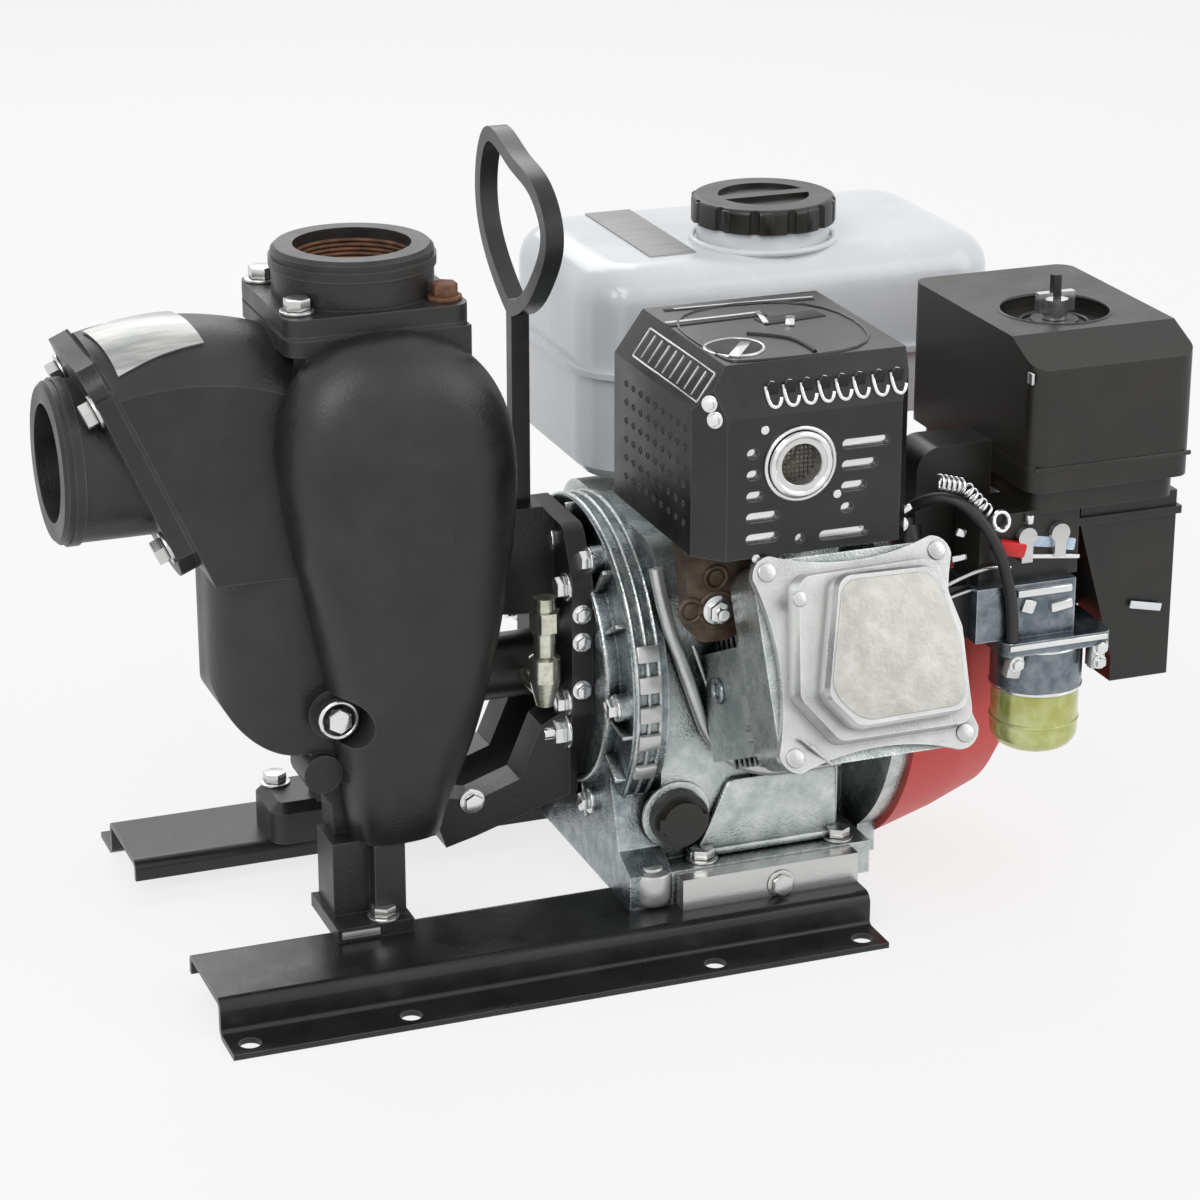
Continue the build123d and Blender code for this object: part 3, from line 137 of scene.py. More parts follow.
@dataclass(frozen=True)
class Finish:
    """A procedural finish in Object coordinates.

    Attributes:
        name: Name of the material.
        colour: Main colour, linear.
        worn: Colour of the mottled patches, linear.
        roughness: Middle roughness.
        metallic: Share of metal.
        pattern: How the finish varies.
        grain: Size of the fine grain in metres.
        relief: Depth of the grain in metres.
        mottle: Size of the colour patches in metres.
        coat: Weight of the clear coat.
        crease_shade: Colour of the painted shade laid in the creases, or None.
        reach: How far from a crease the painted shade reaches, in metres.
        edge_wear_and_highlight: Colour along the outer edges, partly edge wear and partly painted highlight,
            or None.
        edge: Width of these bright edges in metres.
    """

    name: str
    colour: Colour
    worn: Colour
    roughness: float
    metallic: float = 0.0
    pattern: Pattern = Pattern.CAST
    grain: float = 0.0012
    relief: float = 0.0001
    mottle: float = 0.03
    coat: float = 0.0
    crease_shade: Colour | None = None
    reach: float = 0.008
    edge_wear_and_highlight: Colour | None = None
    edge: float = 0.0012

    def make(self) -> bpy.types.Material:
        """Build the node material, or return the one made before.

        Returns:
            The material.
        """
        known = bpy.data.materials.get(self.name)
        if known:
            return known
        material = bpy.data.materials.new(self.name)
        material.use_nodes = True
        graph = Graph(material.node_tree)
        place = graph.add("ShaderNodeTexCoord")
        stretch = graph.add("ShaderNodeMapping", {"Vector": place.outputs["Object"]})
        if self.pattern is Pattern.BRUSHED:
            stretch.inputs["Scale"].default_value = BRUSH_STRETCH
        spot = stretch.outputs["Vector"]
        noise = {"Vector": spot, "Scale": 1.0 / self.mottle, "Detail": 6.0, "Roughness": 0.6}
        patches = graph.add("ShaderNodeTexNoise", noise).outputs["Fac"]
        blend = graph.add("ShaderNodeValToRGB", {"Fac": patches})
        for stop, level, colour in zip(blend.color_ramp.elements, PATCH_LEVELS, (self.colour, self.worn)):
            stop.position = level
            stop.color = (*colour, 1.0)
        skin = blend.outputs["Color"]
        # Painted shade: a dark colour laid in the creases that ambient occlusion finds
        if self.crease_shade:
            skin = self.over(graph, skin, self.crease(graph), self.crease_shade)
        # Bright edges: edge wear together with a painted highlight along the outer edges
        if self.edge_wear_and_highlight:
            skin = self.over(graph, skin, self.wear_and_highlight_mask(graph, patches), self.edge_wear_and_highlight)
        rough = graph.add("ShaderNodeMapRange", {
            "Value": patches,
            "From Min": 0.3,
            "From Max": 0.7,
            "To Min": max(0.03, self.roughness - ROUGHNESS_SWING),
            "To Max": min(1.0, self.roughness + ROUGHNESS_SWING),
        })
        fine = graph.add("ShaderNodeTexNoise", {"Vector": spot, "Scale": 1.0 / self.grain, "Detail": 3.0})
        height = {"Height": fine.outputs["Fac"], "Strength": 1.0, "Distance": self.relief}
        bump = graph.add("ShaderNodeBump", height)
        graph.fill(graph.nodes["Principled BSDF"], {
            "Base Color": skin,
            "Metallic": self.metallic,
            "Roughness": rough.outputs["Result"],
            "Normal": bump.outputs["Normal"],
            "Coat Weight": self.coat,
            "Coat Roughness": 0.15,
        })
        return material

    def over(self, graph: Graph, base: Socket, mask: Socket, colour: Colour) -> Socket:
        """Lay a colour over a base where a mask is white.

        Args:
            graph: Nodes that are added to.
            base: Socket of the colour below.
            mask: Socket of the mask.
            colour: Colour laid on top.

        Returns:
            The socket of the mixed colour.
        """
        mix = graph.add("ShaderNodeMix")
        mix.data_type = "RGBA"
        graph.fill(mix, {0: mask, 6: base, 7: (*colour, 1.0)})
        return mix.outputs[2]

    def crease(self, graph: Graph) -> Socket:
        """Mask that is white in the creases of the shape, where shade is painted.

        Args:
            graph: Nodes that are added to.

        Returns:
            The socket of the mask.
        """
        hollow = graph.add("ShaderNodeAmbientOcclusion", {"Distance": self.reach})
        hollow.samples = 6
        open_level, deep_level = CREASE_LEVELS
        depth = {"Value": hollow.outputs["AO"], "From Min": open_level, "From Max": deep_level}
        return graph.add("ShaderNodeMapRange", depth).outputs["Result"]

    def wear_and_highlight_mask(self, graph: Graph, patches: Socket) -> Socket:
        """Mask that is white along the outer edges, for edge wear and painted highlight, broken up by the
        patches.

        Args:
            graph: Nodes that are added to.
            patches: Socket of the colour patches.

        Returns:
            The socket of the mask.
        """
        rounded = graph.add("ShaderNodeBevel", {"Radius": self.edge})
        rounded.samples = 4
        flat = graph.add("ShaderNodeNewGeometry")
        normals = {0: rounded.outputs["Normal"], 1: flat.outputs["Normal"]}
        turn = graph.add("ShaderNodeVectorMath", normals, "DOT_PRODUCT")
        flat_level, worn_level = EDGE_LEVELS
        edges = {"Value": turn.outputs["Value"], "From Min": flat_level, "From Max": worn_level}
        worn = graph.add("ShaderNodeMapRange", edges)
        broken = {0: worn.outputs["Result"], 1: patches}
        return graph.add("ShaderNodeMath", broken, "MULTIPLY").outputs["Value"]


BLACK_CASTING = Finish(
    "black_casting", (0.014, 0.0135, 0.013), (0.030, 0.028, 0.026), 0.40,
    grain=0.0016, relief=0.00016, edge_wear_and_highlight=(0.16, 0.15, 0.14),
)
BLACK_SHEET = Finish(
    "black_sheet", (0.010, 0.010, 0.0105), (0.019, 0.019, 0.020), 0.30,
    pattern=Pattern.SHEET, relief=0.00003, edge_wear_and_highlight=(0.20, 0.20, 0.20), edge=0.0008,
)
BLACK_MOULDING = Finish(
    "black_moulding", (0.013, 0.012, 0.0105), (0.021, 0.019, 0.016), 0.36,
    pattern=Pattern.MOULDED, grain=0.0008, relief=0.00003, edge_wear_and_highlight=(0.07, 0.065, 0.06),
)
TANK_PAINT = Finish(
    "tank_paint", (0.76, 0.79, 0.81), (0.84, 0.85, 0.86), 0.22,
    pattern=Pattern.SHEET, relief=0.00001, mottle=0.06, coat=0.4,
)
CAST_ALLOY = Finish(
    "cast_alloy", (0.42, 0.47, 0.46), (0.74, 0.77, 0.76), 0.27, 0.85,
    grain=0.0014, relief=0.00035, mottle=0.013, crease_shade=(0.012, 0.018, 0.018), reach=0.018,
    edge_wear_and_highlight=(0.92, 0.93, 0.92), edge=0.0016,
)
# A darker copy of the cast alloy for the crankcase cover: painted shade and painted dark reflection on its
# face
SHADED_ALLOY = Finish(
    "shaded_alloy", (0.20, 0.24, 0.26), (0.52, 0.56, 0.56), 0.25, 0.85,
    grain=0.0014, relief=0.0004, mottle=0.010, crease_shade=(0.010, 0.014, 0.018), reach=0.020,
    edge_wear_and_highlight=(0.90, 0.92, 0.92), edge=0.0016,
)
COVER_ALLOY = Finish(
    "cover_alloy", (0.52, 0.53, 0.52), (0.70, 0.70, 0.69), 0.32, 0.7,
    grain=0.0013, relief=0.00012, mottle=0.03, crease_shade=(0.06, 0.06, 0.06), reach=0.007,
    edge_wear_and_highlight=(0.88, 0.88, 0.87),
)
PANEL_ALLOY = Finish(
    "panel_alloy", (0.50, 0.485, 0.45), (0.68, 0.665, 0.63), 0.42, 0.35,
    grain=0.0022, relief=0.00035, mottle=0.011,
)
DARK_ALLOY = Finish(
    "dark_alloy", (0.13, 0.155, 0.18), (0.30, 0.33, 0.36), 0.22, 0.85,
    grain=0.0013, relief=0.00010, mottle=0.009, crease_shade=(0.015, 0.018, 0.02), reach=0.006,
    edge_wear_and_highlight=(0.75, 0.78, 0.80),
)
PLATED_STEEL = Finish(
    "plated_steel", (0.55, 0.55, 0.54), (0.72, 0.72, 0.71), 0.24, 0.9, Pattern.BRUSHED,
    grain=0.0015, relief=0.00004, crease_shade=(0.06, 0.055, 0.05), reach=0.003,
)
BRIGHT_STEEL = Finish(
    "bright_steel", (0.74, 0.75, 0.75), (0.88, 0.88, 0.87), 0.16, 0.9, Pattern.BRUSHED,
    grain=0.0012, relief=0.00003, mottle=0.006,
)
PALE_PLATING = Finish(
    "pale_plating", (0.50, 0.50, 0.38), (0.80, 0.80, 0.72), 0.18, 0.9, Pattern.SHEET,
    grain=0.0012, relief=0.00005, mottle=0.006, crease_shade=(0.05, 0.05, 0.035), reach=0.006,
)
FAN_RED = Finish(
    "fan_red", (0.50, 0.022, 0.022), (0.62, 0.045, 0.045), 0.30,
    pattern=Pattern.SHEET, relief=0.00002, coat=0.3,
)
KNOB_RED = Finish(
    "knob_red", (0.62, 0.010, 0.012), (0.72, 0.02, 0.02), 0.28,
    pattern=Pattern.MOULDED, relief=0.00002,
)
LEVER_BLUE = Finish(
    "lever_blue", (0.42, 0.56, 0.72), (0.70, 0.78, 0.86), 0.25, 0.5,
    pattern=Pattern.SHEET, relief=0.00004, mottle=0.007,
)
YELLOW_PLATING = Finish(
    "yellow_plating", (0.42, 0.44, 0.10), (0.66, 0.70, 0.34), 0.20, 0.45,
    Pattern.SHEET, relief=0.00003, mottle=0.014, coat=0.5, crease_shade=(0.05, 0.05, 0.015), reach=0.006,
)
HEAT_STAINED = Finish(
    "heat_stained", (0.060, 0.035, 0.022), (0.16, 0.12, 0.085), 0.5, 0.5,
    grain=0.0014, relief=0.0002, mottle=0.012,
)
RUST = Finish(
    "rust", (0.10, 0.042, 0.020), (0.30, 0.15, 0.085), 0.70, 0.1,
    grain=0.0009, relief=0.00025, mottle=0.008,
)
BLACK_RUBBER = Finish(
    "black_rubber", (0.012, 0.012, 0.012), (0.022, 0.022, 0.022), 0.42,
    pattern=Pattern.MOULDED, relief=0.00004,
)
GASKET = Finish("gasket", (0.03, 0.03, 0.03), (0.06, 0.06, 0.058), 0.8, pattern=Pattern.SHEET, relief=0.00005)
BARE_PLATE = Finish(
    "bare_plate", (0.34, 0.35, 0.34), (0.60, 0.60, 0.58), 0.34, 0.6, Pattern.BRUSHED,
    grain=0.0016, relief=0.00006, mottle=0.005,
)
GREY_PLATE = Finish(
    "grey_plate", (0.30, 0.30, 0.30), (0.46, 0.46, 0.46), 0.45,
    pattern=Pattern.BRUSHED, relief=0.00003, mottle=0.004,
)
# Near black for slot mouths, hole bottoms and a crease line: painted shade where these lie in shadow
SHADE_BLACK = Finish(
    "painted_shade_black", (0.004, 0.004, 0.004), (0.008, 0.008, 0.008), 0.6,
    pattern=Pattern.SHEET, relief=0.00002,
)

SLOT_FINISH: dict[str, Finish] = {
    "black_cast_iron": BLACK_CASTING,
    "black_steel": BLACK_SHEET,
    "black_plastic": BLACK_MOULDING,
    "tank_white": TANK_PAINT,
    "engine_alloy": CAST_ALLOY,
    "bare_steel": PLATED_STEEL,
    "fan_red": FAN_RED,
    "brass": YELLOW_PLATING,
    "rubber_black": BLACK_RUBBER,
    "brown_steel": HEAT_STAINED,
    "gasket_grey": GASKET,
}
NODE_FINISH: dict[str, Finish] = {
    "rocker_cover": COVER_ALLOY,
    "bowl_body": DARK_ALLOY,
    "carburettor": DARK_ALLOY,
    "crankcase_cover": SHADED_ALLOY,
    "casing_plug": BLACK_CASTING,
    "drain_fitting": PALE_PLATING,
    "wing_nut": BRIGHT_STEEL,
}


@dataclass
class Viewpoint:
    """The camera of the photograph.

    Attributes:
        place: Where the camera stands, in metres.
        lens: Focal length in millimetres on a sensor 36 mm wide.
        down: Angle from straight down, degrees.
        turn: Turn about the vertical, degrees.
    """

    place: Point = (-0.5338, -1.5861, 0.7886)
    lens: float = 104.94
    down: float = 69.5
    turn: float = -20.74

    def build(self) -> None:
        """Create the camera and make it the scene's own."""
        data = bpy.data.cameras.new("camera")
        data.sensor_width = 36.0
        data.lens = self.lens
        data.clip_end = 50.0
        camera = bpy.data.objects.new("camera", data)
        camera.location = self.place
        camera.rotation_euler = (math.radians(self.down), 0.0, math.radians(self.turn))
        bpy.context.scene.collection.objects.link(camera)
        bpy.context.scene.camera = camera


@dataclass
class Studio:
    """Pale floor, white surroundings and soft lamps.

    Attributes:
        floor_size: Width of the floor in metres.
        floor_colour: Its colour.
        floor_glow: Share of plain white in it as the camera sees it.
        sky_colour: Colour of the world's light.
        sky_strength: Its strength.
        lamp_power: Power of the main lamp in watts.
        aim: Where the lamps look.
    """

    floor_size: float = 12.0
    floor_colour: tuple[float, ...] = (0.86, 0.86, 0.86, 1.0)
    floor_glow: float = 0.78
    sky_colour: tuple[float, ...] = (0.95, 0.97, 1.0, 1.0)
    sky_strength: float = 0.45
    lamp_power: float = 26.0
    aim: Point = (0.03, 0.0, 0.15)

    def build(self) -> None:
        """Make the floor, the world and the lamps."""
        self.floor()
        self.world()
        self.lamp("main_lamp", (-1.3, -1.5, 1.9), 1.4, self.lamp_power)
        self.lamp("fill_lamp", (1.6, -1.1, 1.2), 1.6, self.lamp_power * 0.45)
        self.lamp("back_lamp", (0.2, 1.8, 1.7), 1.4, self.lamp_power * 0.5)

    def floor(self) -> None:
        """Make the floor, near white to the camera and with the object's shadow."""
        bpy.ops.mesh.primitive_plane_add(size=self.floor_size, location=(0.0, 0.0, 0.0))
        plane = bpy.context.object
        plane.name = "floor"
        material = bpy.data.materials.new("floor")
        material.use_nodes = True
        graph = Graph(material.node_tree)
        lit = graph.nodes["Principled BSDF"]
        graph.fill(lit, {"Base Color": self.floor_colour, "Roughness": 0.9})
        white = graph.add("ShaderNodeEmission", {"Color": WHITE, "Strength": 1.0})
        share = graph.add("ShaderNodeMath", {0: self.looks(graph), 1: self.floor_glow}, "MULTIPLY")
        blend = {"Fac": share.outputs["Value"], 1: lit.outputs["BSDF"], 2: white.outputs["Emission"]}
        mix = graph.add("ShaderNodeMixShader", blend)
        graph.fill(graph.nodes["Material Output"], {"Surface": mix.outputs["Shader"]})
        plane.data.materials.append(material)

    def looks(self, graph: Graph) -> Socket:
        """Socket that is 1 for a look of the camera, a reflection or a look through.

        Args:
            graph: Nodes that are added to.

        Returns:
            The socket.
        """
        rays = graph.add("ShaderNodeLightPath")
        pair = {0: rays.outputs["Is Glossy Ray"], 1: rays.outputs["Is Transmission Ray"]}
        mirrored = graph.add("ShaderNodeMath", pair, "MAXIMUM")
        pair = {0: rays.outputs["Is Camera Ray"], 1: mirrored.outputs["Value"]}
        return graph.add("ShaderNodeMath", pair, "MAXIMUM").outputs["Value"]

    def world(self) -> None:
        """White world to the camera and in reflections, softer as a light."""
        world = bpy.data.worlds.new("surroundings")
        bpy.context.scene.world = world
        world.use_nodes = True
        graph = Graph(world.node_tree)
        graph.nodes.clear()
        seen = graph.add("ShaderNodeBackground", {"Color": WHITE, "Strength": 1.0})
        sky = {"Color": self.sky_colour, "Strength": self.sky_strength}
        light = graph.add("ShaderNodeBackground", sky)
        blend = {"Fac": self.looks(graph), 1: light.outputs["Background"], 2: seen.outputs["Background"]}
        mix = graph.add("ShaderNodeMixShader", blend)
        graph.add("ShaderNodeOutputWorld", {"Surface": mix.outputs["Shader"]})

    def lamp(self, name: str, place: Point, size: float, power: float) -> None:
        """Add a soft square lamp that faces the object.

        Args:
            name: Name of the lamp.
            place: Where it hangs.
            size: Width of its panel in metres.
            power: Power in watts.
        """
        data = bpy.data.lights.new(name, "AREA")
        data.energy = power
        data.size = size
        lamp = bpy.data.objects.new(name, data)
        lamp.location = place
        way = Vector(self.aim) - Vector(place)
        lamp.rotation_euler = way.to_track_quat("-Z", "Y").to_euler()
        bpy.context.scene.collection.objects.link(lamp)


def metres(place: Point) -> Vector:
    """Turn a place in millimetres into one in metres."""
    return Vector(place) * MM


def free_hands() -> None:
    """Leave edit mode and select nothing."""
    if bpy.context.mode != "OBJECT":
        bpy.ops.object.mode_set(mode="OBJECT")
    bpy.ops.object.select_all(action="DESELECT")


def settle(piece: bpy.types.Object, finish: Finish, body: str, angle: float = SHARP_EDGE) -> None:
    """Give a finished piece its smoothing, finish, slot and body.

    Args:
        piece: The finished piece, its place in its mesh.
        finish: Its finish.
        body: The body that it rides on.
        angle: Edges sharper than this stay sharp, degrees.
    """
    free_hands()
    bpy.context.view_layer.objects.active = piece
    piece.select_set(True)
    bpy.ops.object.shade_smooth_by_angle(angle=math.radians(angle))
    piece.data.materials.clear()
    piece.data.materials.append(finish.make())
    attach(piece, body)
    log.info("made %s of %s, %d faces", piece.name, finish.name, len(piece.data.polygons))


@dataclass(frozen=True)
class Block:
    """A block with rounded edges.

    Attributes:
        middle: Its middle, millimetres.
        size: Its sides.
        edge: Radius of its edges.
        turn: Its turn, degrees about X, Y and Z.
    """

    middle: Point
    size: Point
    edge: float
    turn: Point = (0.0, 0.0, 0.0)


class Piece:
    """A new piece, modelled from primitives in edit mode."""

    def __init__(self, name: str) -> None:
        """Start an empty mesh at the origin and open it for editing.

        Args:
            name: Name of the piece.
        """
        free_hands()
        self.shape = bpy.data.objects.new(name, bpy.data.meshes.new(name))
        bpy.context.scene.collection.objects.link(self.shape)
        bpy.context.view_layer.objects.active = self.shape
        self.shape.select_set(True)
        bpy.ops.object.mode_set(mode="EDIT")

    def keep_faces(self, axis: Vector, both: bool = False) -> None:
        """Of the selected faces keep those that look along an axis.

        Args:
            axis: The axis.
            both: Whether those that look the other way are kept too.
        """
        bpy.ops.mesh.select_mode(type="FACE")
        shape = bmesh.from_edit_mesh(self.shape.data)
        kept = [
            face
            for face in shape.faces
            if face.select and (face.normal.dot(axis) > 0.99 or (both and face.normal.dot(axis) < -0.99))
        ]
        bpy.ops.mesh.select_all(action="DESELECT")
        for face in kept:
            face.select_set(True)
        bmesh.update_edit_mesh(self.shape.data)

    def drum(
        self,
        place: Point,
        axis: Point,
        radius: float,
        height: float,
        edge: float = 0.3,
        sides: int = 24,
        dimple: float = 0.0,
    ) -> None:
        """Add a round or many-sided boss that stands on a place.

        Args:
            place: Middle of its foot, millimetres.
            axis: The way it stands.
            radius: Its radius, out to the corners.
            height: Its height.
            edge: Width of the chamfer round both ends.
            sides: How many sides it has.
            dimple: How deep its top is sunk, within a rim.
        """
        way = Vector(axis).normalized()
        bpy.ops.mesh.select_all(action="DESELECT")
        bpy.ops.mesh.primitive_cylinder_add(
            vertices=sides,
            radius=radius * MM,
            depth=height * MM,
            location=metres(place) + way * height * MM / 2,
            rotation=way.to_track_quat("Z", "Y").to_euler(),
            end_fill_type="NGON",
        )
        self.keep_faces(way, both=True)
        bpy.ops.mesh.bevel(offset=edge * MM, segments=2, affect="EDGES")
        if dimple:
            self.keep_faces(way)
            bpy.ops.mesh.inset(thickness=radius * RIM_SHARE * MM)
            bpy.ops.mesh.inset(thickness=dimple * 0.5 * MM, depth=-dimple * MM)

    def block(self, shape: Block) -> None:
        """Add a block with rounded edges.

        Args:
            shape: The block.
        """
        bpy.ops.mesh.select_all(action="DESELECT")
        bpy.ops.mesh.primitive_cube_add(
            size=1.0,
            location=metres(shape.middle),
            rotation=tuple(math.radians(angle) for angle in shape.turn),
            scale=metres(shape.size),
        )
        bpy.ops.mesh.bevel(offset=shape.edge * MM, segments=2, affect="EDGES")

    def tile(self, corners: list[Point], height: float, corner: float, edge: float) -> None:
        """Add a flat tile with rounded corners that stands out of its outline.

        Args:
            corners: Corners of its foot in order, seen from outside anticlockwise, millimetres.
            height: How far it stands out.
            corner: Radius of its corners.
            edge: Radius of its rim.
        """
        bpy.ops.mesh.select_all(action="DESELECT")
        bpy.ops.mesh.primitive_circle_add(vertices=len(corners), radius=0.01, fill_type="NGON")
        shape = bmesh.from_edit_mesh(self.shape.data)
        foot = [vertex for vertex in shape.verts if vertex.select]
        for vertex, place in zip(foot, corners):
            vertex.co = metres(place)
        bmesh.update_edit_mesh(self.shape.data)
        first, second, third = (Vector(place) for place in corners[:3])
        way = (second - first).cross(third - second).normalized()
        bpy.ops.mesh.bevel(offset=corner * MM, segments=6, affect="VERTICES")
        bpy.ops.mesh.extrude_region_move(TRANSFORM_OT_translate={"value": way * height * MM})
        bpy.ops.mesh.bevel(offset=edge * MM, segments=3, affect="EDGES")

    def ring(self, middle: Point, axis: Point, radius: float, wire: float, sides: int = 32) -> None:
        """Add a round ring.

        Args:
            middle: Its middle, millimetres.
            axis: The way that it faces.
            radius: Radius of its centre line.
            wire: Radius of its wire.
            sides: How many parts it has round its line.
        """
        bpy.ops.mesh.select_all(action="DESELECT")
        bpy.ops.mesh.primitive_torus_add(
            major_radius=radius * MM,
            minor_radius=wire * MM,
            major_segments=sides,
            minor_segments=10,
            location=metres(middle),
            rotation=Vector(axis).normalized().to_track_quat("Z", "Y").to_euler(),
        )

    def bolt(self, place: Point, axis: Point, across: float = 11.0, height: float = 6.5) -> None:
        """Add a washer with a hexagon head on it.

        Args:
            place: Middle of the washer's foot, millimetres.
            axis: The way the head stands.
            across: Width of the head across its flats.
            height: Height of the head with its washer.
        """
        washer = height * WASHER_SHARE
        way = Vector(axis).normalized()
        foot = tuple(Vector(place) + way * washer)
        self.drum(place, axis, across * WASHER_REACH, washer, 0.25, 24)
        self.drum(foot, axis, across * CORNER_REACH, height - washer, 0.55, 6, dimple=0.5)

    def stud_nut(self, place: Point, axis: Point, across: float = 11.0, reach: float = 11.0) -> None:
        """Add a washer, a nut and the end of the stud in it.

        Args:
            place: Middle of the washer's foot, millimetres.
            axis: The way the stud stands.
            across: Width of the nut across its flats.
            reach: Height of the stud's end.
        """
        self.bolt(place, axis, across, reach * NUT_SHARE)
        self.drum(place, axis, across * STUD_REACH, reach, 0.5, 16)

    def repeat(self, count: int, step: Point) -> None:
        """Copy the piece at even steps.

        Args:
            count: How many there are in the end.
            step: The way from one to the next, millimetres.
        """
        free_hands()
        self.shape.select_set(True)
        bpy.context.view_layer.objects.active = self.shape
        copies = self.shape.modifiers.new("copies", "ARRAY")
        copies.count = count
        copies.use_relative_offset = False
        copies.use_constant_offset = True
        copies.constant_offset_displace = metres(step)
        bpy.ops.object.modifier_apply(modifier=copies.name)

    def done(self, finish: Finish, body: str = "pump_set") -> None:
        """Close the mesh and hand the piece over.

        Args:
            finish: Its finish.
            body: The body that it rides on.
        """
        bpy.ops.mesh.select_all(action="SELECT")
        bpy.ops.mesh.normals_make_consistent(inside=False)
        settle(self.shape, finish, body)


def make_blocks(name: str, shapes: tuple[Block, ...], finish: Finish) -> None:
    """Make a piece of one or more rounded blocks and hand it over.

    Args:
        name: Name of the piece.
        shapes: Its blocks.
        finish: Its finish.
    """
    piece = Piece(name)
    for shape in shapes:
        piece.block(shape)
    piece.done(finish)


def make_curve(name: str, points: list[Point], radius: float, closed: bool = False) -> bpy.types.Object:
    """Make a smooth round wire as a curve.

    Args:
        name: Name of the wire.
        points: Points of its route, millimetres.
        radius: Radius of the wire.
        closed: Whether its ends meet.

    Returns:
        The curve object.
    """
    free_hands()
    data = bpy.data.curves.new(name, "CURVE")
    data.dimensions = "3D"
    data.bevel_depth = radius * MM
    data.bevel_resolution = 3
    data.use_fill_caps = True
    line = data.splines.new("NURBS")
    line.points.add(len(points) - 1)
    for spot, place in zip(line.points, points):
        spot.co = (*metres(place), 1.0)
    line.order_u = 3
    line.resolution_u = 6
    line.use_cyclic_u = closed
    line.use_endpoint_u = not closed
    wire = bpy.data.objects.new(name, data)
    bpy.context.scene.collection.objects.link(wire)
    return wire


def make_wire(
    name: str,
    points: list[Point],
    radius: float,
    finish: Finish,
    closed: bool = False,
) -> None:
    """Make a smooth round wire as a mesh and hand it over.

    Args:
        name: Name of the wire.
        points: Points of its route, millimetres.
        radius: Radius of the wire.
        finish: Its finish.
        closed: Whether its ends meet.
    """
    wire = make_curve(name, points, radius, closed)
    bpy.context.view_layer.objects.active = wire
    wire.select_set(True)
    bpy.ops.object.convert(target="MESH")
    settle(bpy.context.object, finish, "pump_set", WIRE_EDGE)


def coil_points(start: Point, end: Point, radius: float, turns: int) -> list[Point]:
    """Points of a coil spring between two places.

    Args:
        start: Its first end, millimetres.
        end: Its other end.
        radius: Radius of its turns.
        turns: How many turns it has.

    Returns:
        The points in order.
    """
    first = Vector(start)
    way = Vector(end) - first
    side = way.normalized().orthogonal()
    other = way.normalized().cross(side)
    count = turns * 8
    points = []
    for step in range(count + 1):
        angle = step * math.tau / 8
        out = side * radius * math.cos(angle) + other * radius * math.sin(angle)
        points.append(tuple(first + way * step / count + out))
    return points


@dataclass
class IgnitionLead:
    """The lead from the plug cap over the carburettor's front.

    Attributes:
        route: Points of its route, millimetres.
        radius: Radius of the lead.
        length: Its length; not used.
    """

    route: tuple[Point, ...] = (
        (176.5, -130.02, 227.67),
        (176.5, -127.9, 232.2),
        (190.9, -145.0, 243.9),
        (204.7, -156.0, 234.1),
        (214.8, -161.0, 213.8),
        (222.5, -160.3, 185.0),
        (222.5, -160.3, 168.0),
    )
    radius: float = 3.0
    length: float = 115.0

    def build(self) -> None:
        """Make the lead, which goes back into the object."""
        lead = make_curve("plug_lead", list(self.route), self.radius)
        lead.data.materials.append(BLACK_RUBBER.make())
        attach(lead, "pump_set")
        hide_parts("ignition_lead")


